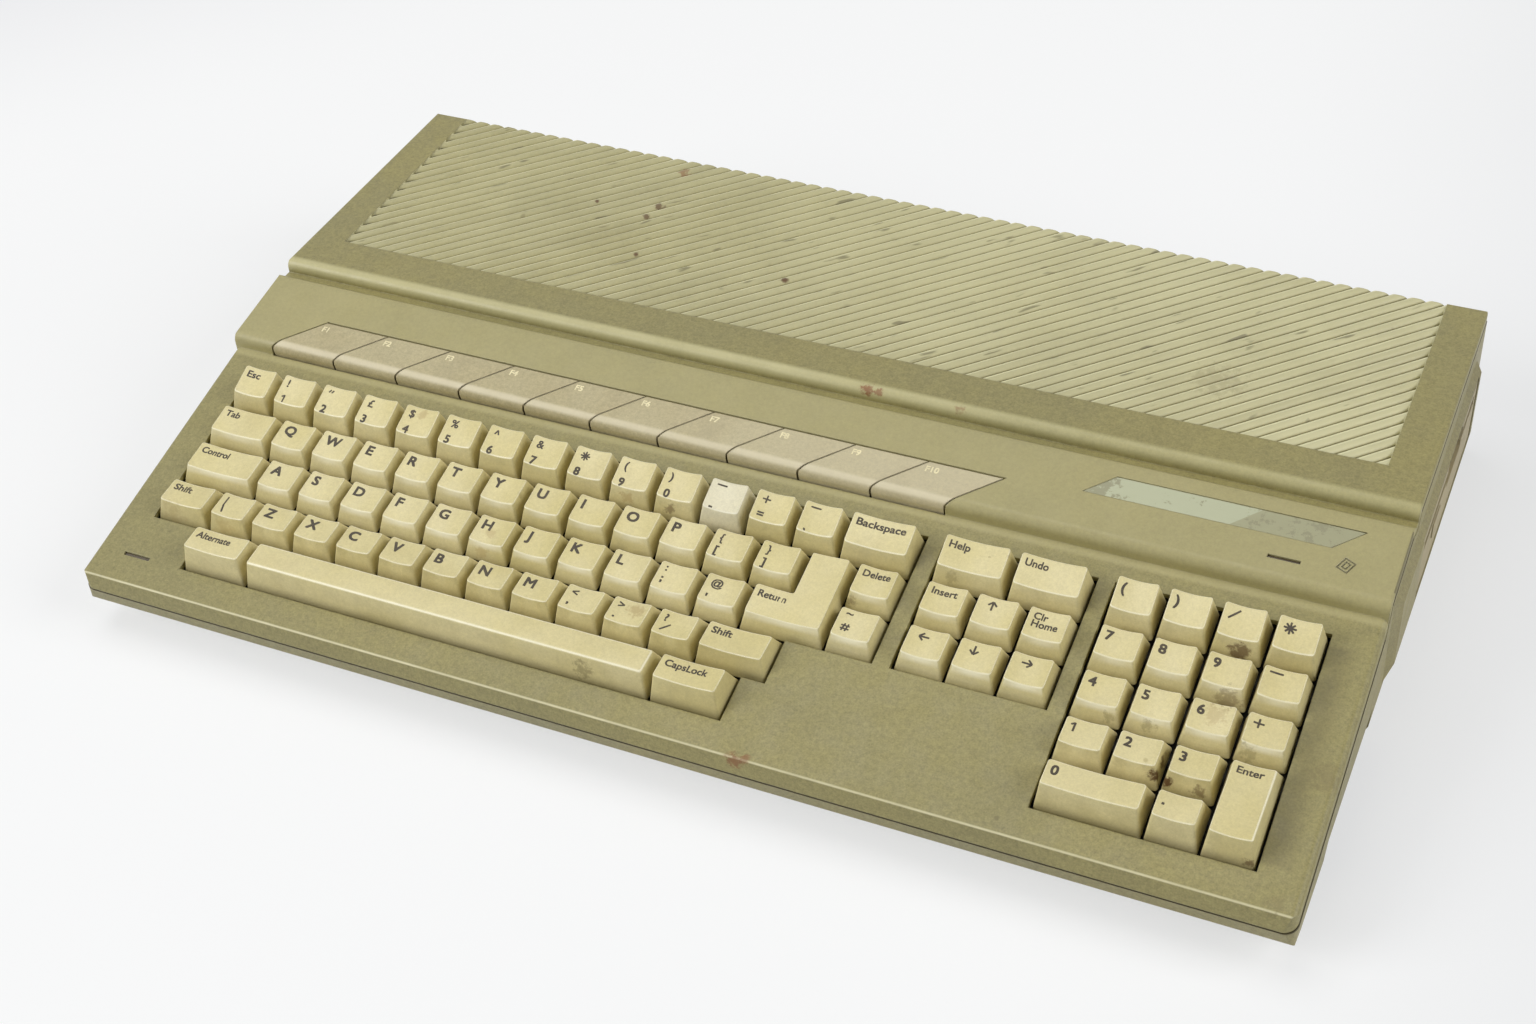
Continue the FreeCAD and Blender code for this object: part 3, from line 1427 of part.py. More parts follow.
def tv_modulator():
    """Metal box with a phono jack through the rear wall."""
    x = left + modulator_from_left
    body = box(Vector(x - modulator_width / 2, panel_y - modulator_depth, mainboard_top),
               Vector(x + modulator_width / 2, panel_y, mainboard_top + modulator_height))
    jack = Vector(x, panel_y - phono_radius, panel_height)
    reach = port_reach + phono_radius
    return body.fuse(rod(jack, phono_radius, reach, Y_AXIS)).cut(rod(jack, phono_bore, reach, Y_AXIS))


def cartridge_connector():
    """Edge connector behind the slot in the left wall."""
    y = front + cartridge_from_front + (cartridge_length - cartridge_body_length) / 2
    low = Vector(left + cartridge_setback, y, mainboard_top)
    body = box(low, low + Vector(cartridge_body_width, cartridge_body_length, cartridge_body_height))
    mouth_z = cartridge_low + (cartridge_height - cartridge_mouth) / 2
    mouth = box(Vector(low.x, y + cartridge_mouth_wall, mouth_z),
                Vector(low.x + cartridge_mouth_depth, y + cartridge_body_length - cartridge_mouth_wall,
                       mouth_z + cartridge_mouth))
    return body.cut(mouth)


# Disk drive
plate_low = drive_low + drive_plate_height
plate_top = plate_low + sheet
rod_z = plate_top + rod_height
hub_centre = Vector(bezel_back - hub_from_bezel, drive_middle, plate_top)
lead_y = drive_middle + rod_spread / 2 - lead_offset
carriage_x = drive_x + carriage_from_end
rod_end_x = carriage_x + carriage_length + carriage_stroke + part_gap / 2
drive_board_low = drive_low + drive_board_height
drive_board_top = drive_board_low + drive_board_thickness


def drive_chassis():
    """Bent tray with rods for the head, a stepper motor and the hub bearing."""
    y_to = drive_y + drive_width
    low, high = drive_low, drive_low + drive_wall_height
    pieces = [
        box(Vector(drive_x, drive_y, low), Vector(bezel_back, drive_y + sheet, high)),
        box(Vector(drive_x, y_to - sheet, low), Vector(bezel_back, y_to, high)),
        box(Vector(drive_x, drive_y, low), Vector(bezel_back, drive_y + drive_flange, low + sheet)),
        box(Vector(drive_x, y_to - drive_flange, low), Vector(bezel_back, y_to, low + sheet)),
        box(Vector(drive_x, drive_y, plate_low), Vector(bezel_back, y_to, plate_top)),
    ]
    for side in (-1, 1):
        y = drive_middle + side * rod_spread / 2
        start = drive_x + rod_from_end
        pieces.append(rod(Vector(start, y, rod_z), rod_radius, rod_end_x + rod_holder - start, X_AXIS))
        for x in (start, rod_end_x):
            pieces.append(box(Vector(x, y - 2 * rod_radius, plate_low),
                              Vector(x + rod_holder, y + 2 * rod_radius, rod_z + 2 * rod_radius)))
    pieces.append(box(Vector(rod_end_x, lead_y - 2 * lead_radius, plate_low),
                      Vector(rod_end_x + rod_holder, lead_y + 2 * lead_radius, rod_z + 2 * lead_radius)))
    motor_x = drive_x + rod_from_end
    pieces.append(rod(Vector(motor_x, lead_y, rod_z), motor_radius, motor_length, X_AXIS))
    pieces.append(box(Vector(motor_x, lead_y - motor_radius / 2, plate_low),
                      Vector(motor_x + motor_length, lead_y + motor_radius / 2, rod_z)))
    for x, y in drive_board_posts():
        pieces.append(rod(Vector(x, y, drive_board_top), hub_shaft_radius, plate_low - drive_board_top + sheet / 2))
    turning = lead_radius + running_clearance
    bores = [rod(hub_centre - Z_AXIS * sheet, hub_shaft_radius + running_clearance, sheet),
             rod(Vector(motor_x + motor_length - motor_bore, lead_y, rod_z), turning, motor_bore, X_AXIS),
             rod(Vector(rod_end_x, lead_y, rod_z), turning, rod_holder, X_AXIS)]
    return pieces[0].fuse(pieces[1:]).cut(bores)


def drive_board_posts():
    """Places of the posts between the drive's plate and its circuit board."""
    inset = drive_board_inset + part_gap / 2
    return [(x, y) for x in (drive_x + inset, bezel_back - 2 * inset)
            for y in (drive_y + inset, drive_y + drive_width - inset)]


def drive_motor_board():
    """Circuit board under the drive's plate."""
    inset = drive_board_inset
    return box(Vector(drive_x + inset, drive_y + inset, drive_board_low),
               Vector(bezel_back - inset, drive_y + drive_width - inset, drive_board_top))


def drive_lid():
    """Flat sheet on the walls of the drive's tray, with a window over the hub."""
    low = drive_low + drive_wall_height
    lid = box(Vector(drive_x, drive_y, low), Vector(bezel_back, drive_y + drive_width, low + sheet))
    window = rod(Vector(hub_centre.x, hub_centre.y, low), hub_radius, sheet)
    return lid.cut(window)


eject_y = drive_y + eject_from_drive_front
eject_z = drive_low + eject_above_drive
flap_pin = Vector(bezel_back + flap_pocket / 2, slot_y, slot_low + slot_height + flap_pin_rise)


def drive_bezel():
    """Front of the disk drive with slot, finger recess, eject opening and flap pocket."""
    bezel = box(Vector(bezel_back, drive_y, drive_low), Vector(bezel_face, drive_y + drive_width, drive_top))
    slot_top = slot_low + slot_height
    slot = box(Vector(bezel_back, slot_y, slot_low), Vector(bezel_face, slot_y + slot_length, slot_top))
    finger_y = drive_middle + finger_offset
    finger_z = (slot_low + slot_top) / 2
    finger = box(Vector(bezel_face - finger_depth, finger_y - finger_width / 2, finger_z - finger_height / 2),
                 Vector(bezel_face, finger_y + finger_width / 2, finger_z + finger_height / 2))
    corners = [edge for edge in finger.Edges if abs(edge.tangentAt(edge.FirstParameter).x) > 1 / 2]
    finger = finger.makeFillet(finger_depth, corners)
    pocket = box(Vector(bezel_back, slot_y - flap_cover, slot_low - flap_cover),
                 Vector(bezel_back + flap_pocket, slot_y + slot_length + flap_cover, slot_top + flap_pocket_rise))
    gap = eject_gap
    eject = box(Vector(bezel_back, eject_y - gap, eject_z - gap),
                Vector(bezel_face, eject_y + eject_width + gap, eject_z + eject_height + gap))
    reach = 2 * flap_cover
    bore = rod(flap_pin - Y_AXIS * reach, flap_pin_radius + running_clearance, slot_length + 2 * reach, Y_AXIS)
    outline = [edge for edge in bezel.Edges if min(v.X for v in edge.Vertexes) > bezel_back]
    bezel = bezel.makeChamfer(bezel_recess, outline)
    return bezel.cut([slot, finger, pocket, eject, bore])


def drive_flap():
    """Hinged flap behind the disk slot, on pins in the bezel."""
    low = Vector(flap_pin.x - flap_thickness / 2, slot_y - flap_cover + flap_gap, slot_low - flap_cover + flap_gap)
    high = Vector(flap_pin.x + flap_thickness / 2, slot_y + slot_length + flap_cover - flap_gap,
                  flap_pin.z)
    reach = 2 * flap_cover - running_clearance
    pin = rod(flap_pin - Y_AXIS * reach, flap_pin_radius, slot_length + 2 * reach, Y_AXIS)
    return box(low, high).fuse(pin)


def eject_button():
    """Rectangular push button with an arm into the drive."""
    button = box(Vector(bezel_back, eject_y, eject_z),
                 Vector(bezel_face + eject_proud, eject_y + eject_width, eject_z + eject_height))
    middle_z = eject_z + eject_height / 2
    arm = box(Vector(bezel_back - eject_arm, eject_y + eject_width / 4, middle_z - eject_arm_height / 2),
              Vector(bezel_back, eject_y + eject_width / 2, middle_z + eject_arm_height / 2))
    return button.fuse(arm)


def spindle_hub():
    """Rotor with the raised hub that turns the disk, on a shaft in the plate."""
    low = hub_centre + Z_AXIS * hub_float
    rotor = rod(low, rotor_radius, rotor_height)
    hub = rod(low + Z_AXIS * rotor_height, hub_radius, hub_height)
    shaft = rod(hub_centre - Z_AXIS * sheet, hub_shaft_radius, sheet + hub_float)
    drive_pin = rod(low + Vector(hub_radius * 2 / 3, 0, rotor_height), hub_shaft_radius / 2, hub_height * 4 / 3)
    return rotor.fuse([hub, shaft, drive_pin])


def head_carriage():
    """Block with the head arm, bored for two rods and the lead screw."""
    half = rod_spread / 2 + 2 * rod_radius
    body = box(Vector(carriage_x, drive_middle - half, rod_z - carriage_height / 2),
               Vector(carriage_x + carriage_length, drive_middle + half, rod_z + carriage_height / 2))
    arm = box(Vector(carriage_x + carriage_length, drive_middle - head_arm_width / 2, rod_z - head_arm_height / 2),
              Vector(carriage_x + carriage_length + head_arm_length, drive_middle + head_arm_width / 2,
                     rod_z + head_arm_height / 2))
    bores = [rod(Vector(carriage_x, drive_middle + side * rod_spread / 2, rod_z),
                 rod_radius + running_clearance, carriage_length, X_AXIS) for side in (-1, 1)]
    bores.append(rod(Vector(carriage_x, lead_y, rod_z), lead_radius + running_clearance, carriage_length, X_AXIS))
    return body.fuse(arm).cut(bores)


def lead_screw():
    """Screw between the stepper motor and its end bearing."""
    start = drive_x + rod_from_end + motor_length - motor_bore + running_clearance
    return rod(Vector(start, lead_y, rod_z), lead_radius, rod_end_x + rod_holder - start, X_AXIS)


drive_ribbon_z = drive_board_low + drive_board_thickness / 2
drive_plug_x = drive_x + drive_board_inset - plug_depth
drive_plug_place = (drive_x - ribbon_radius, drive_middle, plug_depth, ribbon_width)
key_plug_place = (middle, board_front + 2 * part_gap, ribbon_width, plug_depth)


def plug_on(place, low_z):
    """Plug body that stands on a surface at a plan place."""
    x, y, width, depth = place
    return box(Vector(x - width / 2, y - depth / 2, low_z), Vector(x + width / 2, y + depth / 2, low_z + plug_height))


def ribbon_cables():
    """Flat cables from the drive and the keyboard down to the mainboard, with their plugs."""
    half, plug_top = ribbon_thickness / 2, mainboard_top + plug_height
    x, y, width, depth = drive_plug_place
    y_from = y - depth / 2
    start = Vector(drive_plug_x, y_from, drive_ribbon_z)
    corners = [start + Z_AXIS * half, Vector(x - half, y_from, drive_ribbon_z + half),
               Vector(x - half, y_from, plug_top), Vector(x + half, y_from, plug_top),
               Vector(x + half, y_from, drive_ribbon_z - half), start - Z_AXIS * half]
    radii = [0, ribbon_radius + half, 0, 0, ribbon_radius - half, 0]
    pieces = [prism(corners, radii, Y_AXIS * depth), plug_on(drive_plug_place, mainboard_top)]
    pieces.append(box(Vector(drive_plug_x, y_from, drive_ribbon_z - drive_board_height),
                      Vector(drive_plug_x + plug_depth, y_from + depth, drive_ribbon_z + drive_board_height)))
    x, y, width, depth = key_plug_place
    pieces.append(plug_on(key_plug_place, mainboard_top))
    tilt = math.radians(deck_slope)
    up = Vector(0, -math.sin(tilt), math.cos(tilt))
    bend = Vector(x - width / 2, y, plug_top + 2 * ribbon_radius)
    board_low = -board_depth - board_thickness
    flat = deck_frame.inverse().multVec(bend)
    plug_low = board_low - plug_height
    end = bend + up * (plug_low - flat.z)
    path = [(y, plug_top), (bend.y, bend.z), (end.y, end.z)]
    sides = inset_path(path, half), inset_path(path, -half)
    outline = [Vector(bend.x, py, pz) for py, pz in sides[0] + sides[1][::-1]]
    pieces.append(prism(outline, [0] * len(outline), X_AXIS * width))
    pieces.append(on_deck(box(Vector(flat.x, flat.y - depth / 2, plug_low),
                              Vector(flat.x + width, flat.y + depth / 2, board_low))))
    return Part.makeCompound(pieces)


def deck_keys(cells):
    """The keys of one table row, placed on the deck."""
    keys = [on_deck(key_cap(cell)) for cell in cells]
    return keys[0] if len(keys) == 1 else Part.makeCompound(keys)


makers = [top_cover, bottom_case, rubber_feet, case_screws, badge_plate, indicator_lenses,
          key_plate, keyboard_circuit_board, mainboard, mainboard_chips, shield_base, shield_lid,
          power_supply_board, power_supply_cage, mains_inlet, rear_switch_bodies, power_switch_rocker,
          reset_button, d_sub_ports, din_ports, tv_modulator, cartridge_connector, joystick_ports,
          drive_chassis, drive_lid, drive_bezel, drive_motor_board, eject_button, drive_flap,
          spindle_hub, head_carriage, lead_screw, ribbon_cables]
os.makedirs("parts", exist_ok=True)
for maker in makers:
    maker().exportStep(f"parts/{maker.__name__}.step")
for name, cells in key_table:
    deck_keys(cells).exportStep(f"parts/{name}.step")
on_deck(key_cap(*return_cells)).exportStep("parts/return_key.step")
for number in range(f_key_count):
    f_key(number).exportStep(f"parts/f{number + 1}_key.step")
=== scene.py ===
"""Dresses the home computer: aged plastics, moulded key caps, legends, badge, sockets and studio.

Metres, X to the user's right, Y to the rear, Z up. Sizes written with MM are millimetres.
"""

import logging
import math
from dataclasses import dataclass, field, replace
from enum import Enum
from typing import Callable, Sequence

import bmesh
import bpy
from mathutils import Matrix, Vector

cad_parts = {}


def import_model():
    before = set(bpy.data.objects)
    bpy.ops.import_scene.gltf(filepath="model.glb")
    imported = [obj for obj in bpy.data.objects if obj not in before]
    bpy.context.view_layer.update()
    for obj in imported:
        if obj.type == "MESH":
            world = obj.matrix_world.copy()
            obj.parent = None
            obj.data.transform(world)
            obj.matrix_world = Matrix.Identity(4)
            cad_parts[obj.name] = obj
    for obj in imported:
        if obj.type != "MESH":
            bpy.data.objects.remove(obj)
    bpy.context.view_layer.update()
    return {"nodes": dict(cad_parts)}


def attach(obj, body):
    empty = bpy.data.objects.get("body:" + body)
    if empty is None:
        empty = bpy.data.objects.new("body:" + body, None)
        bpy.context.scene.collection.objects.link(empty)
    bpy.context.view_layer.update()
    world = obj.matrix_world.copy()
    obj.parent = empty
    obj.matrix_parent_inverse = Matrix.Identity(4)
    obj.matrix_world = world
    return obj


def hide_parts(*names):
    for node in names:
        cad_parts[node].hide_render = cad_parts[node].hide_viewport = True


MM = 0.001
LOG = logging.getLogger("home computer")

Colour = tuple[float, float, float]
Place = tuple[float, float, float]
Socket = bpy.types.NodeSocket
Value = float | Socket
Tint = Colour | Socket
Sockets = dict[str, Value | Tint]

# How nodes are laid out in the editor.
NODE_ROOM = (220, 260)
NODES_IN_ROW = 12
# How near counts as there, and how squarely a face has to look one way.
TINY = 1e-6
FACING = 0.9
# Height of a capital as a share of the lettering's size.
CAPITAL_SHARE = 0.7
UP = (0.0, 0.0, 1.0)

# The sloping key deck, and the tier of the function keys with its rear edge as (y, z).
KEY_PITCH = 19.05 * MM
DECK_SLOPE = math.radians(12.5)
DECK_PLACE = Vector((-223.75 * MM, -38.0 * MM, 51.975 * MM))
DECK = Matrix.Translation(DECK_PLACE) @ Matrix.Rotation(DECK_SLOPE, 4, "X")
DECK_NORMAL = (0.0, -math.sin(DECK_SLOPE), math.cos(DECK_SLOPE))
TIER_SLOPE = math.radians(9.8)
TIER_BACK = (9.5 * MM, 66.7 * MM)


def paint(red: float, green: float, blue: float) -> Colour:
    """Linear colour of a paint chip given as 0 to 255 values.

    Args:
        red, green, blue: the chip's values as seen on a screen.
    Returns:
        The same colour in the linear values that the shaders use.
    """
    chip = []
    for value in (red, green, blue):
        share = value / 255
        chip.append(share / 12.92 if share <= 0.04045 else ((share + 0.055) / 1.055) ** 2.4)
    return tuple(chip)


class Cloud(Enum):
    """Noise patterns: clouds to the metre, layers of detail and how rough they are.

    The last three are laid on a stretched point, which gives them their scale.
    """

    MOTTLE = (95.0, 5.0, 0.62)
    GREASE = (31.0, 6.0, 0.7)
    RAGGED = (420.0, 5.0, 0.68)
    CROWDS = (17.0, 3.0, 0.6)
    SCRATCHED_AREAS = (23.0, 2.0, 0.5)
    DUST = (9.0, 5.0, 0.65)
    RIB_LIGHT = (48.0, 4.0, 0.6)
    ZONE_PATCHES = (60.0, 5.0, 0.65)
    KEY_GRIME_AND_SHADE = (160.0, 5.0, 0.65)
    ROLL_HIGHLIGHT = (55.0, 4.0, 0.6)
    TARNISH = (60.0, 5.0, 0.62)
    RUBBED_BADGE = (210.0, 6.0, 0.72)
    SETTLED_DUST = (75.0, 6.0, 0.66)
    TRACK_AREAS = (42.0, 1.0, 0.5)
    PAD_AREAS = (55.0, 1.0, 0.5)
    BOARD_DUST = (38.0, 5.0, 0.66)
    FADED_INK = (260.0, 5.0, 0.65)
    INK_GRAIN = (1600.0, 2.0, 0.6)
    FLOOR = (1.3, 2.0, 0.5)
    STREAKS = (1.0, 2.0, 0.5)
    WIPES = (1.0, 4.0, 0.6)
    BRUSHING = (1.0, 3.0, 0.6)


class Graph:
    """Lays out the nodes of one material or node group."""

    def __init__(self, tree: bpy.types.NodeTree) -> None:
        """Starts on an empty tree.

        Args:
            tree: the tree of a material, a world or a node group.
        """
        self.tree = tree
        self.count = 0
        for node in list(tree.nodes):
            tree.nodes.remove(node)

    def add(self, kind: str, inputs: dict | None = None, **settings: object) -> bpy.types.Node:
        """Adds one node.

        Args:
            kind: the node's type name.
            inputs: sockets by name or number, each a value or another node's output.
            settings: properties of the node itself.
        Returns:
            The node.
        """
        node = self.tree.nodes.new(kind)
        row, column = divmod(self.count, NODES_IN_ROW)
        node.location = (NODE_ROOM[0] * column, -NODE_ROOM[1] * row)
        self.count += 1
        for name, value in settings.items():
            setattr(node, name, value)
        for name, value in (inputs or {}).items():
            self.feed(node.inputs[name], value)
        return node

    def feed(self, socket: Socket, value: Value | Tint) -> None:
        """Links an output to a socket, or writes a plain value or colour into it.

        Args:
            socket: the socket that is fed.
            value: an output, a value or a colour.
        """
        if isinstance(value, bpy.types.NodeSocket):
            self.tree.links.new(value, socket)
        elif socket.type == "RGBA":
            socket.default_value = (*value[:3], 1.0)
        else:
            socket.default_value = value

    def sum(self, operation: str, first: Value, second: Value = 0.0, third: Value = 0.0) -> Socket:
        """One sum of up to three values."""
        node = self.add("ShaderNodeMath", {0: first, 1: second, 2: third}, operation=operation)
        return node.outputs[0]

    def times(self, first: Value, second: Value) -> Socket:
        """The product of two values."""
        return self.sum("MULTIPLY", first, second)

    def scale_add(self, value: Value, scale: Value, rest: Value) -> Socket:
        """A value scaled, and then the rest added."""
        return self.sum("MULTIPLY_ADD", value, scale, rest)

    def minus(self, first: Value, second: Value) -> Socket:
        """The first value less the second."""
        return self.sum("SUBTRACT", first, second)

    def mix(self, share: Value, first: Tint, second: Tint) -> Socket:
        """Mixes two colours.

        Args:
            share: how much of the second colour, 0 to 1.
            first, second: colours or colour outputs.
        Returns:
            The mixed colour.
        """
        node = self.add("ShaderNodeMix", data_type="RGBA", clamp_factor=True)
        self.feed(node.inputs[0], share)
        self.feed(node.inputs[6], first)
        self.feed(node.inputs[7], second)
        return node.outputs[2]

    def noise(self, vector: Socket, scale: Value, detail: float, rough: float) -> Socket:
        """Cloudy noise between 0 and 1 at so many clouds to the metre."""
        inputs = {"Vector": vector, "Scale": scale, "Detail": detail, "Roughness": rough}
        return self.add("ShaderNodeTexNoise", inputs).outputs[0]

    def cloud(self, vector: Socket, pattern: Cloud) -> Socket:
        """One of the named noise patterns."""
        return self.noise(vector, *pattern.value)

    def step(self, value: Socket, low: Value, high: Value, soft: bool = True) -> Socket:
        """0 below low and 1 above high, smooth between them.

        Args:
            value: what is read.
            low, high: where it starts and ends; the other way round it falls.
            soft: whether it starts and ends gently.
        Returns:
            The step, 0 to 1.
        """
        kind = "SMOOTHSTEP" if soft else "LINEAR"
        inputs = {0: value, 1: low, 2: high, 3: 0.0, 4: 1.0}
        return self.add("ShaderNodeMapRange", inputs, interpolation_type=kind).outputs[0]

    def place(self) -> Socket:
        """The point on the object, in metres."""
        return self.add("ShaderNodeTexCoord").outputs["Object"]

    def normal(self) -> Socket:
        """The direction that the surface faces."""
        return self.add("ShaderNodeNewGeometry").outputs["Normal"]

    def along(self, vector: Socket, direction: Place | Socket) -> Socket:
        """How far a point lies along a direction."""
        node = self.add("ShaderNodeVectorMath", {0: vector, 1: direction}, operation="DOT_PRODUCT")
        return node.outputs["Value"]

    def stretched(self, vector: Socket, scale: Place, turn: float = 0.0) -> Socket:
        """A point turned about Z, then scaled along each axis.

        Args:
            vector: the point.
            scale: the scale along each axis.
            turn: the angle about Z.
        Returns:
            The new point.
        """
        if turn:
            vector = self.add("ShaderNodeVectorRotate", {"Vector": vector, "Angle": turn},
                              rotation_type="Z_AXIS").outputs[0]
        return self.add("ShaderNodeMapping", {0: vector, 3: scale}, vector_type="POINT").outputs[0]

    def scaled(self, vector: Tint, scale: Value) -> Socket:
        """A colour or place with all its parts scaled alike."""
        return self.add("ShaderNodeVectorMath", {0: vector, 3: scale}, operation="SCALE").outputs[0]

    def split(self, vector: Socket) -> bpy.types.NodeOutputs:
        """A place or direction split into its three parts."""
        return self.add("ShaderNodeSeparateXYZ", {0: vector}).outputs

    def bump(self, strength: float, distance: float, height: Socket,
             normal: Socket | None = None) -> Socket:
        """The surface's normal, roughened by a height.

        Args:
            strength: how strongly, 0 to 1.
            distance: how high the height reaches, in metres.
            height: the height, 0 to 1.
            normal: the normal that is roughened, or none for the mesh's own.
        Returns:
            The roughened normal.
        """
        inputs = {"Strength": strength, "Distance": distance, "Height": height}
        if normal is not None:
            inputs["Normal"] = normal
        return self.add("ShaderNodeBump", inputs).outputs[0]

    def group(self, group: bpy.types.NodeTree, inputs: Sockets) -> bpy.types.NodeOutputs:
        """Places a shared node group and gives its outputs."""
        return self.add("ShaderNodeGroup", inputs, node_tree=group).outputs


class SocketKind(Enum):
    """Kinds of socket on a shared effect."""

    VALUE = "NodeSocketFloat"
    COLOUR = "NodeSocketColor"
    VECTOR = "NodeSocketVector"


class Effects:
    """The effects that several finishes share, each a node group built once."""

    def __init__(self) -> None:
        """Builds every shared effect."""
        self.surface = self.aged_surface()
        self.edges = self.worn_edges()
        self.spot = self.grime_spot()
        self.specks = self.scattered_specks()
        self.scratches = self.hair_scratches()

    def start(self, name: str, inputs: dict, outputs: dict) -> tuple:
        """Makes an empty node group with its sockets.

        Args:
            name: the effect's name.
            inputs: socket name to its kind and starting value.
            outputs: socket name to its kind.
        Returns:
            The group, its graph, what it is given and the sockets that it puts out.
        """
        group = bpy.data.node_groups.new(name, "ShaderNodeTree")
        for label, (kind, value) in inputs.items():
            socket = group.interface.new_socket(label, in_out="INPUT", socket_type=kind.value)
            if kind is SocketKind.COLOUR:
                value = (*value, 1.0)
            socket.default_value = value
        for label, kind in outputs.items():
            group.interface.new_socket(label, in_out="OUTPUT", socket_type=kind.value)
        graph = Graph(group)
        given = graph.add("NodeGroupInput").outputs
        return group, graph, given, graph.add("NodeGroupOutput").inputs

    def aged_surface(self) -> bpy.types.NodeTree:
        """Moulded plastic that has yellowed unevenly, with its fine spark-eroded grain.

        Returns:
            The node group.
        """
        value, colour = SocketKind.VALUE, SocketKind.COLOUR
        group, graph, given, out = self.start(
            "aged moulded surface",
            {
                "Base": (colour, (0.5, 0.5, 0.5)),
                "Yellowed": (colour, (0.5, 0.5, 0.4)),
                "Soiled": (colour, (0.2, 0.18, 0.12)),
                "Patch scale": (value, 14.0),
                "Soil": (value, 0.3),
                "Grain scale": (value, 1500.0),
                "Grain colour": (value, 0.06),
                "Rough low": (value, 0.45),
                "Rough high": (value, 0.6),
            },
            {"Color": colour, "Roughness": value, "Height": value},
        )
        place = graph.place()
        patches = graph.noise(place, given["Patch scale"], 4.0, 0.55)
        aged = graph.mix(graph.step(patches, 0.35, 0.68), given["Base"], given["Yellowed"])
        mottle = graph.cloud(place, Cloud.MOTTLE)
        film = graph.cloud(place, Cloud.GREASE)
        soil = graph.times(graph.step(film, 0.48, 0.78), given["Soil"])
        soiled = graph.mix(soil, aged, given["Soiled"])
        fine = graph.noise(place, given["Grain scale"], 2.0, 0.6)
        coarse = graph.noise(place, graph.times(given["Grain scale"], 0.42), 3.0, 0.6)
        grain = graph.times(graph.sum("ADD", fine, coarse), 0.5)
        shade = graph.scale_add(graph.minus(grain, 0.5), given["Grain colour"], 1.0)
        shade = graph.scale_add(graph.minus(mottle, 0.5), 0.16, shade)
        graph.feed(out["Color"], graph.scaled(soiled, shade))
        span = graph.minus(given["Rough high"], given["Rough low"])
        rough = graph.scale_add(graph.step(mottle, 0.3, 0.7), span, given["Rough low"])
        graph.feed(out["Roughness"], rough)
        graph.feed(out["Height"], grain)
        return group

    def worn_edges(self) -> bpy.types.NodeTree:
        """Softened edges and a mask of where they are, broken up by noise.

        Returns:
            The node group.
        """
        value, vector = SocketKind.VALUE, SocketKind.VECTOR
        group, graph, given, out = self.start(
            "worn edges",
            {"Radius": (value, 0.5 * MM), "Breaks": (value, 120.0)},
            {"Mask": value, "Normal": vector},
        )
        soft = graph.add("ShaderNodeBevel", {"Radius": given["Radius"]}, samples=4).outputs[0]
        turn = graph.along(soft, graph.normal())
        edge = graph.step(graph.minus(1.0, turn), 0.03, 0.22)
        breaks = graph.step(graph.noise(graph.place(), given["Breaks"], 4.0, 0.6), 0.3, 0.62)
        graph.feed(out["Mask"], graph.times(edge, breaks))
        graph.feed(out["Normal"], soft)
        return group

    def grime_spot(self) -> bpy.types.NodeTree:
        """One uneven spot of grime, rust or stain about a point.

        Returns:
            The node group.
        """
        value, vector = SocketKind.VALUE, SocketKind.VECTOR
        group, graph, given, out = self.start(
            "grime spot",
            {"Centre": (vector, (0.0, 0.0, 0.0)), "Radius": (value, 5 * MM),
             "Ragged": (value, 0.8)},
            {"Mask": value},
        )
        place = graph.place()
        ends = {0: place, 1: given["Centre"]}
        gap = graph.add("ShaderNodeVectorMath", ends, operation="DISTANCE")
        share = graph.sum("DIVIDE", gap.outputs["Value"], given["Radius"])
        cloud = graph.cloud(place, Cloud.RAGGED)
        warp = graph.times(graph.minus(cloud, 0.5), given["Ragged"])
        share = graph.scale_add(warp, 3.0, share)
        near = graph.minus(1.0, graph.step(share, 0.35, 1.0))
        reach = graph.times(given["Radius"], 1.9)
        limit = graph.minus(1.0, graph.step(gap.outputs["Value"], given["Radius"], reach))
        graph.feed(out["Mask"], graph.times(near, limit))
        return group

    def scattered_specks(self) -> bpy.types.NodeTree:
        """Small flecks of dirt, more in some places than in others.

        Returns:
            The node group.
        """
        value = SocketKind.VALUE
        group, graph, given, out = self.start(
            "scattered specks",
            {"Scale": (value, 120.0), "Size": (value, 0.12), "Share": (value, 0.2)},
            {"Mask": value},
        )
        place = graph.place()
        bent = graph.add("ShaderNodeTexNoise", {"Vector": place, "Scale": 260.0, "Detail": 2.0})
        shift = graph.scaled(bent.outputs["Color"], 2.2 * MM)
        moved = graph.add("ShaderNodeVectorMath", {0: place, 1: shift}, operation="ADD")
        inputs = {"Vector": moved.outputs[0], "Scale": given["Scale"]}
        cells = graph.add("ShaderNodeTexVoronoi", inputs)
        parts = graph.add("ShaderNodeSeparateColor", {0: cells.outputs["Color"]}).outputs
        chosen = graph.step(parts[0], graph.minus(1.0, given["Share"]), 1.0)
        size = graph.times(given["Size"], graph.scale_add(parts[1], 1.2, 0.3))
        dot = graph.step(cells.outputs["Distance"], size, graph.times(size, 0.5))
        crowd = graph.step(graph.cloud(place, Cloud.CROWDS), 0.42, 0.66)
        graph.feed(out["Mask"], graph.times(graph.times(dot, chosen), crowd))
        return group

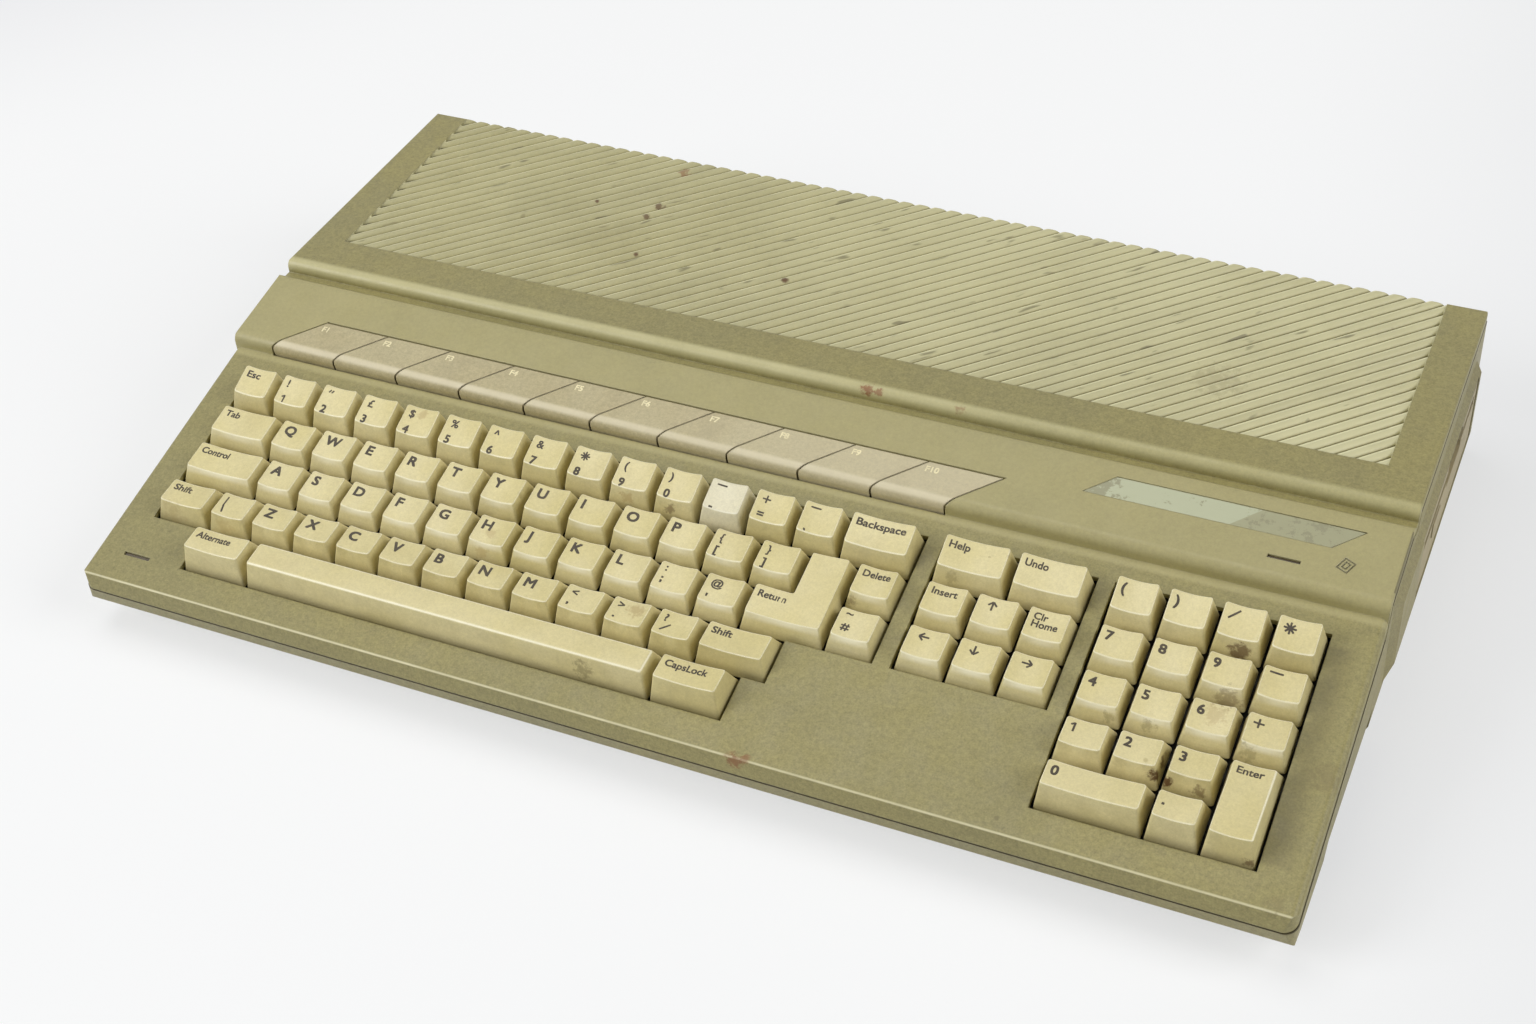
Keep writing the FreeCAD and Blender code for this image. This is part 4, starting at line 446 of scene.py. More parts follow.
    def hair_scratches(self) -> bpy.types.NodeTree:
        """Fine straight scratches that cross at slight angles.

        Returns:
            The node group.
        """
        value = SocketKind.VALUE
        group, graph, given, out = self.start(
            "hair scratches", {"Fineness": (value, 900.0), "Cut": (value, 0.72)}, {"Mask": value}
        )
        place = graph.place()
        marks = []
        for turn, length in ((0.35, 14.0), (-0.9, 22.0)):
            lines = graph.stretched(place, (length, 900.0, 900.0), turn)
            marks.append(graph.cloud(lines, Cloud.STREAKS))
        best = graph.sum("MAXIMUM", marks[0], marks[1])
        mask = graph.step(best, given["Cut"], graph.sum("ADD", given["Cut"], 0.06))
        thin = graph.step(graph.noise(place, given["Fineness"], 1.0, 0.5), 0.4, 0.6)
        where = graph.step(graph.cloud(place, Cloud.SCRATCHED_AREAS), 0.5, 0.62)
        graph.feed(out["Mask"], graph.times(graph.times(mask, where), thin))
        return group


@dataclass(frozen=True)
class Spot:
    """One mark left on the surface: where, how wide, how strong and of what colour."""

    centre: Place
    radius: float
    strength: float
    colour: Colour
    ragged: float


@dataclass(frozen=True)
class Seam:
    """A stretch of the dark joint between the halves of the case, seen from the side as (y, z)."""

    start: tuple[float, float]
    end: tuple[float, float]
    half: float = 0.5 * MM

    def mask(self, graph: Graph, place: Socket) -> Socket:
        """Where a point lies in or close to the joint.

        Args:
            graph: the material's graph.
            place: the point on the object.
        Returns:
            The mask.
        """
        parts = graph.split(place)
        rise = (self.end[1] - self.start[1]) / (self.end[0] - self.start[0])
        line = graph.scale_add(parts[1], rise, self.start[1] - self.start[0] * rise)
        gap = graph.sum("ABSOLUTE", graph.minus(parts[2], line))
        near = graph.step(gap, self.half, 0.6 * self.half)
        after = graph.sum("GREATER_THAN", parts[1], self.start[0])
        return graph.times(graph.times(near, after),
                         graph.sum("LESS_THAN", parts[1], self.end[0]))


@dataclass(frozen=True)
class Finish:
    """What every finish has: a name, and a material with one shader."""

    name: str

    def surface(self, graph: Graph, effects: Effects) -> Sockets:
        """Lays out the nodes of the surface.

        Args:
            graph: the material's graph.
            effects: the shared node groups.
        Returns:
            What feeds each socket of the shader.
        """
        raise NotImplementedError(self.name)

    def material(self, effects: Effects) -> bpy.types.Material:
        """Builds the material.

        Args:
            effects: the shared node groups.
        Returns:
            The finished material.
        """
        material = bpy.data.materials.new(self.name)
        material.use_nodes = True
        graph = Graph(material.node_tree)
        shader = graph.add("ShaderNodeBsdfPrincipled", self.surface(graph, effects))
        graph.add("ShaderNodeOutputMaterial", {"Surface": shader.outputs[0]})
        return material


@dataclass(frozen=True)
class Moulding(Finish):
    """A moulded plastic that has aged: its colours, grain, wear and marks."""

    base: Colour
    yellowed: Colour
    soiled: Colour
    worn: Colour
    soil: float = 0.3
    patch_scale: float = 14.0
    grain_scale: float = 1500.0
    grain_colour: float = 0.10
    grain_depth: float = 0.12
    edge_radius: float = 0.5 * MM
    edge_wear: float = 0.5
    rough: tuple[float, float] = (0.48, 0.62)
    specular: float = 0.4
    speck_share: float = 0.06
    spots: tuple[Spot, ...] = ()
    seams: tuple[Seam, ...] = ()

    def colour(self, graph: Graph, effects: Effects, colour: Socket, place: Socket) -> Socket:
        """Adds what is particular to this moulding; a plain one adds nothing."""
        return colour

    def worn_where(self, graph: Graph, place: Socket) -> Value:
        """Where its edges are touched and so worn: everywhere on a plain moulding."""
        return 1.0

    def surface(self, graph: Graph, effects: Effects) -> Sockets:
        """Lays out the nodes of the surface.

        Args:
            graph: the material's graph.
            effects: the shared node groups.
        Returns:
            What feeds each socket of the shader.
        """
        surface = graph.group(effects.surface, {
            "Base": self.base, "Yellowed": self.yellowed, "Soiled": self.soiled,
            "Patch scale": self.patch_scale, "Soil": self.soil, "Grain scale": self.grain_scale,
            "Grain colour": self.grain_colour, "Rough low": self.rough[0],
            "Rough high": self.rough[1],
        })
        place = graph.place()
        colour = self.colour(graph, effects, surface["Color"], place)
        inputs = {"Scale": 170.0, "Size": 0.16, "Share": self.speck_share}
        specks = graph.group(effects.specks, inputs)
        colour = graph.mix(graph.times(specks["Mask"], 0.75), colour, self.soiled)
        edges = graph.group(effects.edges, {"Radius": self.edge_radius, "Breaks": 110.0})
        wear = graph.times(edges["Mask"], self.edge_wear)
        wear = graph.times(wear, self.worn_where(graph, place))
        colour = graph.mix(wear, colour, self.worn)
        for seam in self.seams:
            colour = graph.mix(graph.times(seam.mask(graph, place), 0.8), colour, GAP_DIRT)
        for spot in self.spots:
            inputs = {"Centre": spot.centre, "Radius": spot.radius, "Ragged": spot.ragged}
            mark = graph.group(effects.spot, inputs)
            share = graph.times(mark["Mask"], spot.strength)
            colour = graph.mix(share, colour, spot.colour)
        normal = graph.bump(self.grain_depth, 0.2 * MM, surface["Height"], edges["Normal"])
        return {"Base Color": colour, "Roughness": surface["Roughness"], "Normal": normal,
                "Specular IOR Level": self.specular}


@dataclass(frozen=True)
class Zone:
    """A stretch of the case, between two corners, tinted lighter or darker as painted light and
    shade.
    """

    low: Place
    high: Place
    colour: Colour
    share: float
    fade: float
    soft: float

    def mask(self, graph: Graph, parts: bpy.types.NodeOutputs) -> Socket:
        """Where the zone lies, with soft borders; along X they fade over a width of their own.

        Args:
            graph: the material's graph.
            parts: the place split into its three parts.
        Returns:
            The mask.
        """
        mask = 1.0
        for axis in range(3):
            soft = self.soft if axis else self.fade
            above = graph.step(parts[axis], self.low[axis] - soft, self.low[axis] + soft)
            below = graph.step(parts[axis], self.high[axis] + soft, self.high[axis] - soft)
            mask = graph.times(graph.times(above, below), mask)
        return mask


@dataclass(frozen=True)
class Grille:
    """The ribbed field as the upper case's material reads it.

    The field is a mask, and the height goes from 0 in a groove to 1 on a crest.
    """

    graph: Graph
    place: Socket
    parts: bpy.types.NodeOutputs
    field: Socket
    height: Socket


@dataclass(frozen=True)
class GrilleMoulding(Moulding):
    """The upper case: khaki, with dust and painted sheen on the ribs, painted shade in their
    grooves and painted light in its zones.
    """

    zones: tuple[Zone, ...] = ()
    rib_dust_and_sheen: Colour = paint(206, 202, 162)
    rib_glint: Colour = paint(236, 232, 190)
    rib_pitch: float = 5.07 * MM
    rib_start: Place = (-1.25 * MM, 91.05 * MM, 0.0)
    rib_phase: float = 2.2 * MM
    # Dark for the painted shade in the grooves, on the shaded flanks and at the ribs' left ends,
    # for grime in flecks and streaks, and for the sunk mark.
    groove_shade_and_grime: Colour = paint(86, 80, 52)
    field_low: Place = (-223.0 * MM, 37.6 * MM, 63.0 * MM)
    field_high: Place = (220.5 * MM, 146.0 * MM, 70.0 * MM)
    groove_z: float = 66.1 * MM
    crest_z: float = 68.3 * MM
    mark_left: float = 208 * MM
    mark_depths: tuple[float, float] = (-20 * MM, 8 * MM)

    def engraving(self, graph: Graph, parts: bpy.types.NodeOutputs, place: Socket) -> Socket:
        """Where the small mark is sunk into the tier; it is painted darker.

        Args:
            graph: the material's graph.
            parts: the point split into its three parts.
            place: the point on the object.
        Returns:
            The mask.
        """
        upright = (0.0, -math.sin(TIER_SLOPE), math.cos(TIER_SLOPE))
        surface = TIER_BACK[1] * math.cos(TIER_SLOPE) - TIER_BACK[0] * math.sin(TIER_SLOPE)
        sunk = graph.step(graph.along(place, upright), surface - 0.03 * MM, surface - 0.15 * MM)
        sunk = graph.times(sunk, graph.sum("GREATER_THAN", parts[0], self.mark_left))
        sunk = graph.times(sunk, graph.sum("GREATER_THAN", parts[1], self.mark_depths[0]))
        return graph.times(sunk, graph.sum("LESS_THAN", parts[1], self.mark_depths[1]))

    def grille(self, graph: Graph, place: Socket, parts: bpy.types.NodeOutputs) -> Grille:
        """Finds the ribbed field and how high a point lies in it.

        Args:
            graph: the material's graph.
            place: the point on the object.
            parts: the point split into its three parts.
        Returns:
            What the grille's own methods read.
        """
        field = 1.0
        for axis in range(3):
            above = graph.sum("GREATER_THAN", parts[axis], self.field_low[axis])
            below = graph.sum("LESS_THAN", parts[axis], self.field_high[axis])
            field = graph.times(graph.times(above, below), field)
        height = graph.step(parts[2], self.groove_z, self.crest_z, False)
        return Grille(graph, place, parts, field, height)

    def dust_sheen_and_shade(self, grille: Grille, colour: Socket) -> Socket:
        """Pales the crests with dust and a painted sheen that grows to the right, and paints shade
        in the grooves.

        Args:
            grille: the ribbed field.
            colour: the colour so far.
        Returns:
            The new colour.
        """
        graph = grille.graph
        crest = graph.times(grille.field, graph.step(grille.height, 0.3, 1.0))
        dust = graph.step(graph.cloud(grille.place, Cloud.DUST), 0.3, 0.7)
        # Painted sheen on the crests, stronger to the right; the crests' paling is dust and painted
        # sheen.
        painted_sheen = graph.step(grille.parts[0], -150 * MM, 190 * MM)
        dust_and_sheen = graph.times(crest, graph.scale_add(dust, 0.25, 0.35))
        dust_and_sheen = graph.scale_add(graph.times(crest, painted_sheen), 0.35, dust_and_sheen)
        colour = graph.mix(dust_and_sheen, colour, self.rib_dust_and_sheen)
        # Painted shade deep in the grooves.
        deep = graph.times(grille.field, graph.step(grille.height, 0.42, 0.0))
        return graph.mix(graph.times(deep, 0.1), colour, self.groove_shade_and_grime)

    def lined(self, grille: Grille, colour: Socket) -> Socket:
        """Paints a highlight on one flank of each rib and shade on the other, and paints shadow
        into their left ends.

        Args:
            grille: the ribbed field.
            colour: the colour so far.
        Returns:
            The new colour.
        """
        graph, field = grille.graph, grille.field
        across = graph.along(grille.place, (math.sqrt(0.5), -math.sqrt(0.5), 0.0))
        start = (self.rib_start[0] - self.rib_start[1]) * math.sqrt(0.5) + self.rib_phase
        ribs = graph.scale_add(across, 1 / self.rib_pitch, -start / self.rib_pitch)
        turn = graph.sum("FRACT", ribs)
        uneven = graph.step(graph.cloud(grille.place, Cloud.RIB_LIGHT), 0.32, 0.62)
        # Painted highlight along one flank of each rib.
        lit = graph.times(graph.step(turn, 0.06, 0.14), graph.step(turn, 0.5, 0.34))
        lit = graph.times(graph.times(lit, field), graph.scale_add(uneven, 0.5, 0.4))
        colour = graph.mix(lit, colour, self.rib_glint)
        # Painted shade on the other flank.
        shy = graph.times(graph.times(graph.step(turn, 0.91, 0.95), field), 0.35)
        colour = graph.mix(shy, colour, self.groove_shade_and_grime)
        # Painted shadow where the grooves end at the left border.
        left = self.field_low[0]
        ends = graph.step(grille.parts[0], left + 3.2 * MM, left + 0.8 * MM)
        low = graph.times(field, graph.step(grille.height, 0.95, 0.6))
        return graph.mix(graph.times(graph.times(ends, low), 0.8), colour, self.groove_shade_and_grime)

    def dirtied(self, grille: Grille, effects: Effects, colour: Socket) -> Socket:
        """Wipes, flecks and streaks that run along the ribs.

        Args:
            grille: the ribbed field.
            effects: the shared node groups.
            colour: the colour so far.
        Returns:
            The new colour.
        """
        graph, field = grille.graph, grille.field
        wipes = graph.stretched(grille.place, (9.0, 70.0, 9.0), -math.pi / 4)
        smear = graph.times(graph.step(graph.cloud(wipes, Cloud.WIPES), 0.52, 0.72), field)
        colour = graph.mix(graph.times(smear, 0.1), colour, self.soiled)
        flecks = graph.group(effects.specks, {"Scale": 74.0, "Size": 0.2, "Share": 0.22})
        share = graph.times(flecks["Mask"], graph.times(field, 0.8))
        colour = graph.mix(share, colour, self.groove_shade_and_grime)
        run = graph.stretched(grille.place, (60.0, 380.0, 60.0), -math.pi / 4)
        streak = graph.step(graph.cloud(run, Cloud.STREAKS), 0.66, 0.74)
        return graph.mix(graph.times(graph.times(streak, field), 0.6), colour, self.groove_shade_and_grime)

    def colour(self, graph: Graph, effects: Effects, colour: Socket, place: Socket) -> Socket:
        """Paints the zones' light and shade, darkens the sunk mark and finishes the grille.

        Args:
            graph: the material's graph.
            effects: the shared node groups.
            colour: the colour so far.
            place: the point on the object.
        Returns:
            The new colour.
        """
        parts = graph.split(place)
        patchy = graph.scale_add(graph.cloud(place, Cloud.ZONE_PATCHES), 0.8, 0.6)
        # The zones are painted light and shade: the tier's sheen, the highlights on the block's lip
        # and the front ridge, and the shadow right of the keypad.
        for zone in self.zones:
            share = graph.times(graph.times(zone.mask(graph, parts), patchy), zone.share)
            colour = graph.mix(share, colour, zone.colour)
        engraved = graph.times(self.engraving(graph, parts, place), 0.65)
        colour = graph.mix(engraved, colour, self.groove_shade_and_grime)
        grille = self.grille(graph, place, parts)
        return self.dirtied(grille, effects, self.lined(grille, self.dust_sheen_and_shade(grille, colour)))


@dataclass(frozen=True)
class KeyMoulding(Moulding):
    """Key plastic: cream tops, walls darkened by grime and painted shade, most near the deck, and
    rims paled by wear and a painted highlight.
    """

    wall_grime_and_shade: Colour = paint(150, 138, 98)
    foot_shade_and_grime: Colour = paint(92, 78, 48)
    rim_share: float = 0.75

    def rim(self, graph: Graph, place: Socket) -> Socket:
        """Where the top turns over into the walls, unless that is near the foot.

        Args:
            graph: the material's graph.
            place: the point on the object.
        Returns:
            The mask.
        """
        soft = graph.add("ShaderNodeBevel", {"Radius": self.edge_radius}, samples=4).outputs[0]
        upward = graph.along(soft, DECK_NORMAL)
        turned = graph.times(graph.step(upward, 0.955, 0.915), graph.step(upward, 0.5, 0.62))
        return graph.times(turned, self.worn_where(graph, place))

    def colour(self, graph: Graph, effects: Effects, colour: Socket, place: Socket) -> Socket:
        """Darkens the walls by their slope and by how low they lie, with grime and painted shade,
        and pales the rims with wear and a painted highlight.

        Args:
            graph: the material's graph.
            effects: the shared node groups.
            colour: the colour so far.
            place: the point on the object.
        Returns:
            The new colour.
        """
        normal = graph.normal()
        upward = graph.along(normal, DECK_NORMAL)
        wall = graph.step(upward, 0.8, 0.35)
        cloud = graph.cloud(place, Cloud.KEY_GRIME_AND_SHADE)
        # Walls darker by their slope: grime and painted shade.
        share = graph.times(wall, graph.scale_add(cloud, 0.6, -0.2))
        colour = graph.mix(share, colour, self.wall_grime_and_shade)
        level = graph.along(place, DECK_NORMAL)
        foot = DECK_PLACE.dot(Vector(DECK_NORMAL))
        # Darker still towards the foot: painted shade between the caps, with grime.
        low = graph.step(graph.scale_add(cloud, 3.5 * MM, level), foot + 5.0 * MM, foot - 0.5 * MM)
        colour = graph.mix(graph.times(graph.times(low, wall), 0.36), colour, self.foot_shade_and_grime)
        # Pale rims where the top turns over: wear and a painted highlight.
        return graph.mix(graph.times(self.rim(graph, place), self.rim_share), colour, self.worn)

    def worn_where(self, graph: Graph, place: Socket) -> Socket:
        """Fingers reach the rims of the caps and not their feet."""
        foot = DECK_PLACE.dot(Vector(DECK_NORMAL))
        return graph.step(graph.along(place, DECK_NORMAL), foot + 1.5 * MM, foot + 3.5 * MM)


@dataclass(frozen=True)
class FunctionMoulding(Moulding):
    """Function key plastic: a painted highlight where the top rolls over and painted shade in the
    gaps.
    """

    roll_highlight: Colour = paint(222, 213, 184)
    flank_shade: Colour = paint(74, 62, 40)

    def colour(self, graph: Graph, effects: Effects, colour: Socket, place: Socket) -> Socket:
        """Pales the keys towards the right and where the top rolls over, as painted sheen and
        highlight, and paints shade on the flanks.

        Args:
            graph: the material's graph.
            effects: the shared node groups.
            colour: the colour so far.
            place: the point on the object.
        Returns:
            The new colour.
        """
        parts = graph.split(place)
        # Painted sheen, stronger towards the right.
        right = graph.step(parts[0], -120 * MM, 110 * MM)
        colour = graph.mix(graph.times(right, 0.35), colour, self.roll_highlight)
        normal = graph.normal()
        slopes = graph.split(normal)
        forward = graph.times(slopes[1], -1.0)
        # Painted highlight where the top rolls over to the front.
        roll = graph.times(graph.step(forward, 0.25, 0.55), graph.step(forward, 0.93, 0.72))
        cloud = graph.scale_add(graph.cloud(place, Cloud.ROLL_HIGHLIGHT), 0.5, 0.45)
        colour = graph.mix(graph.times(roll, cloud), colour, self.roll_highlight)
        # Painted shade on the flanks, in the gaps between the keys.
        flank = graph.step(graph.sum("ABSOLUTE", slopes[0]), 0.6, 0.9)
        return graph.mix(graph.times(flank, 0.85), colour, self.flank_shade)


@dataclass(frozen=True)
class Sheet(Finish):
    """Rolled or plated metal: colour, brushing, tarnish and scratches."""

    base: Colour
    tarnish: Colour
    rough: tuple[float, float] = (0.28, 0.5)
    brushing: Place = (12.0, 900.0, 900.0)
    brush_depth: float = 0.1
    tarnish_share: float = 0.35
    metallic: float = 1.0
    edge_radius: float = 0.25 * MM

    def colour(self, graph: Graph, colour: Socket, place: Socket) -> Socket:
        """Adds what is particular to this metal; a plain one adds nothing."""
        return colour

    def surface(self, graph: Graph, effects: Effects) -> Sockets:
        """Lays out the nodes of the surface.

        Args:
            graph: the material's graph.
            effects: the shared node groups.
        Returns:
            What feeds each socket of the shader.
        """
        place = graph.place()
        brushed = graph.cloud(graph.stretched(place, self.brushing), Cloud.BRUSHING)
        cloud = graph.cloud(place, Cloud.TARNISH)
        share = graph.times(graph.step(cloud, 0.45, 0.72), self.tarnish_share)
        colour = graph.mix(share, self.base, self.tarnish)
        colour = graph.scaled(colour, graph.scale_add(graph.minus(brushed, 0.5), 0.25, 1.0))
        colour = self.colour(graph, colour, place)
        specks = graph.group(effects.specks, {"Scale": 210.0, "Size": 0.14, "Share": 0.12})
        colour = graph.mix(graph.times(specks["Mask"], 0.5), colour, self.tarnish)
        edges = graph.group(effects.edges, {"Radius": self.edge_radius, "Breaks": 160.0})
        scratches = graph.group(effects.scratches, {"Fineness": 700.0, "Cut": 0.66})
        rough = graph.scale_add(cloud, self.rough[1] - self.rough[0], self.rough[0])
        rough = graph.scale_add(scratches["Mask"], 0.15, rough)
        normal = graph.bump(self.brush_depth, 0.1 * MM, brushed, edges["Normal"])
        return {"Base Color": colour, "Roughness": rough, "Normal": normal,
                "Metallic": self.metallic}


@dataclass(frozen=True)
class BadgePlate(Sheet):
    """The bare badge strip: two satin tones that meet on a slant, half rubbed away."""

    left_tone: Colour = paint(170, 173, 144)
    right_tone: Colour = paint(148, 146, 114)
    rubbed: Colour = paint(128, 124, 96)
    split_x: float = 179.5 * MM
    middle_y: float = -2.0 * MM

    def colour(self, graph: Graph, colour: Socket, place: Socket) -> Socket:
        """Lays the two tones and rubs the face away in flakes.

        Args:
            graph: the material's graph.
            colour: the colour so far.
            place: the point on the object.
        Returns:
            The new colour.
        """
        parts = graph.split(place)
        lean = graph.minus(parts[0], graph.minus(parts[1], self.middle_y))
        tone = graph.mix(graph.step(lean, self.split_x - 0.2 * MM, self.split_x + 0.2 * MM),
                         self.left_tone, self.right_tone)
        cloud = graph.cloud(place, Cloud.RUBBED_BADGE)
        side = graph.step(parts[0], 165 * MM, 215 * MM)
        tip = graph.step(parts[0], 137 * MM, 124 * MM)
        rubbing = graph.sum("ADD", graph.times(side, 0.10), graph.times(tip, 0.22))
        worn = graph.step(graph.sum("ADD", rubbing, cloud), 0.6, 0.66)
        tone = graph.mix(graph.times(worn, 0.8), tone, self.rubbed)
        return graph.mix(0.9, colour, tone)


@dataclass(frozen=True)
class Smooth(Finish):
    """A smooth moulded part: black socket plastic, rubber, lens or chip case."""

    base: Colour
    dusty: Colour
    dust: float = 0.35
    rough: tuple[float, float] = (0.3, 0.5)
    coat: float = 0.0
    bump_scale: float = 700.0
    bump_depth: float = 0.08
    edge_radius: float = 0.3 * MM

    def surface(self, graph: Graph, effects: Effects) -> Sockets:
        """Lays out the nodes of the surface.

        Args:
            graph: the material's graph.
            effects: the shared node groups.
        Returns:
            What feeds each socket of the shader.
        """
        place = graph.place()
        cloud = graph.cloud(place, Cloud.SETTLED_DUST)
        grain = graph.noise(place, self.bump_scale, 3.0, 0.6)
        normal = graph.normal()
        upward = graph.step(graph.along(normal, UP), -0.2, 0.9)
        settled = graph.scale_add(upward, 0.5, 0.5)
        share = graph.times(graph.step(cloud, 0.4, 0.75), graph.times(settled, self.dust))
        colour = graph.mix(share, self.base, self.dusty)
        edges = graph.group(effects.edges, {"Radius": self.edge_radius, "Breaks": 200.0})
        colour = graph.mix(graph.times(edges["Mask"], 0.3), colour, self.dusty)
        rough = graph.scale_add(cloud, self.rough[1] - self.rough[0], self.rough[0])
        normal = graph.bump(self.bump_depth, 0.15 * MM, grain, edges["Normal"])
        return {"Base Color": colour, "Roughness": rough, "Normal": normal,
                "Coat Weight": self.coat}


@dataclass(frozen=True)
class Laminate(Finish):
    """A lacquered circuit board with copper tracks under the lacquer and tinned pads."""

    base: Colour = paint(42, 92, 58)
    track: Colour = paint(70, 128, 80)
    pad: Colour = paint(176, 172, 150)
    dust: Colour = paint(140, 134, 112)

    def surface(self, graph: Graph, effects: Effects) -> Sockets:
        """Lays out the nodes of the surface.

        Args:
            graph: the material's graph.
            effects: the shared node groups.
        Returns:
            What feeds each socket of the shader.
        """
        place = graph.place()
        tracks = graph.add("ShaderNodeTexBrick", {
            "Vector": place, "Scale": 210.0, "Mortar Size": 0.05, "Mortar Smooth": 0.2,
            "Color1": (0, 0, 0), "Color2": (0, 0, 0), "Mortar": (1, 1, 1),
            "Brick Width": 2.6, "Row Height": 0.42,
        })
        regions = graph.step(graph.cloud(place, Cloud.TRACK_AREAS), 0.44, 0.5)
        line = graph.times(tracks.outputs["Color"], regions)
        colour = graph.mix(line, self.base, self.track)
        inputs = {"Vector": place, "Scale": 300.0, "Randomness": 0.15}
        pads = graph.add("ShaderNodeTexVoronoi", inputs)
        pad = graph.step(pads.outputs["Distance"], 0.26, 0.2)
        pad = graph.times(pad, graph.step(graph.cloud(place, Cloud.PAD_AREAS), 0.53, 0.56))
        colour = graph.mix(pad, colour, self.pad)
        cloud = graph.cloud(place, Cloud.BOARD_DUST)
        colour = graph.mix(graph.times(graph.step(cloud, 0.42, 0.8), 0.5), colour, self.dust)
        edges = graph.group(effects.edges, {"Radius": 0.2 * MM, "Breaks": 200.0})
        normal = graph.bump(0.2, 0.1 * MM, graph.sum("MAXIMUM", line, pad), edges["Normal"])
        rough = graph.scale_add(cloud, 0.4, 0.2)
        return {"Base Color": colour, "Roughness": rough, "Normal": normal}


@dataclass(frozen=True)
class Ink(Finish):
    """Moulded-in or printed lettering with slightly uneven density."""

    base: Colour
    faded: Colour
    rough: float = 0.5

    def surface(self, graph: Graph, effects: Effects) -> Sockets:
        """Lays out the nodes of the surface.

        Args:
            graph: the material's graph.
            effects: the shared node groups.
        Returns:
            What feeds each socket of the shader.
        """
        place = graph.place()
        cloud = graph.cloud(place, Cloud.FADED_INK)
        colour = graph.mix(graph.step(cloud, 0.4, 0.75), self.base, self.faded)
        scratches = graph.group(effects.scratches, {"Fineness": 600.0, "Cut": 0.7})
        colour = graph.mix(graph.times(scratches["Mask"], 0.5), colour, self.faded)
        normal = graph.bump(0.08, 0.1 * MM, graph.cloud(place, Cloud.INK_GRAIN))
        rough = graph.scale_add(cloud, 0.15, self.rough)
        return {"Base Color": colour, "Roughness": rough, "Normal": normal}


def in_millimetres(x: float, y: float, z: float) -> Place:
    """A point given in millimetres."""
    return (x * MM, y * MM, z * MM)


def on_cap(start: float, row: float, across: float, down: float, height: float) -> Place:
    """A point on a cap.

    Args:
        start, row: the cap's cell, in pitches.
        across, down: millimetres from the cell's rear left corner.
        height: millimetres above the deck.
    Returns:
        The point in the model's own place.
    """
    pitch = KEY_PITCH / MM
    flat = in_millimetres(start * pitch + across, -row * pitch - down, height)
    return tuple(DECK @ Vector(flat))


def zone(low: Place, high: Place, colour: Colour, share: float,
         fade: float = 1.2, soft: float = 1.2) -> Zone:
    """A zone with its corners and borders given in millimetres."""
    return Zone(in_millimetres(*low), in_millimetres(*high), colour, share, fade * MM, soft * MM)


def marks(rows: Sequence[tuple], place: Callable[..., Place]) -> tuple[Spot, ...]:
    """Turns rows of place, radius in millimetres, strength, colour and raggedness into marks.

    Args:
        rows: one row for each mark.
        place: how a row's place is read.
    Returns:
        The marks.
    """
    return tuple(Spot(place(*at), radius * MM, strength, colour, ragged)
                 for at, radius, strength, colour, ragged in rows)


GRIME = paint(88, 58, 32)
RUST = paint(128, 74, 40)
STAIN = paint(176, 154, 104)
FILM = paint(120, 108, 72)
GAP_DIRT = paint(58, 50, 32)
CASE_SEAMS = (
    Seam((-145.2 * MM, 20.6 * MM), (-27.7 * MM, 46.42 * MM)),
    Seam((-21.6 * MM, 57.08 * MM), (9.5 * MM, 62.45 * MM)),
    Seam((21.7 * MM, 64.75 * MM), (146.0 * MM, 64.75 * MM)),
)
CASE_MARKS = (
    ((26, 17.3, 68), 3.2, 0.8, RUST, 1.0),
    ((31, 17.0, 68.4), 2.6, 0.7, RUST, 1.0),
    ((64, 17.2, 68.4), 2.4, 0.5, RUST, 1.0),
    ((40, -143.5, 27), 3.6, 0.7, RUST, 1.0),
    ((44, -143.0, 28.4), 2.5, 0.6, RUST, 1.0),
    # The next two marks are painted shade on the deck right of the keypad.
    ((232, -92, 40), 7.0, 0.45, FILM, 1.0),
    ((228, -140, 28), 4.0, 0.35, FILM, 1.0),
    ((150, 66, 69), 12.0, 0.25, FILM, 1.0),
    ((-108.1, 134.5, 68.6), 3.6, 0.6, RUST, 1.0),
    ((-106.6, 106.5, 68.6), 2.8, 0.8, GRIME, 0.9),
    ((-108.5, 97.6, 68.6), 2.0, 0.8, GRIME, 0.8),
    ((-134.1, 101.3, 68.6), 1.4, 0.9, GRIME, 0.3),
    ((-99.7, 70.3, 68.6), 1.5, 0.9, GRIME, 0.3),
    ((-32.9, 73.4, 68.6), 2.0, 0.95, GRIME, 0.3),
    ((-186.7, 123.1, 68.6), 1.4, 0.9, GRIME, 0.3),
)


@dataclass
class Finishes:
    """Every finish of the machine, made once."""

    effects: Effects
    made: dict[str, bpy.types.Material] = field(default_factory=dict)

    def of(self, finish: Finish) -> bpy.types.Material:
        """The material of a finish, built the first time it is asked for.

        Args:
            finish: the finish.
        Returns:
            Its material.
        """
        if finish.name not in self.made:
            self.made[finish.name] = finish.material(self.effects)
        return self.made[finish.name]


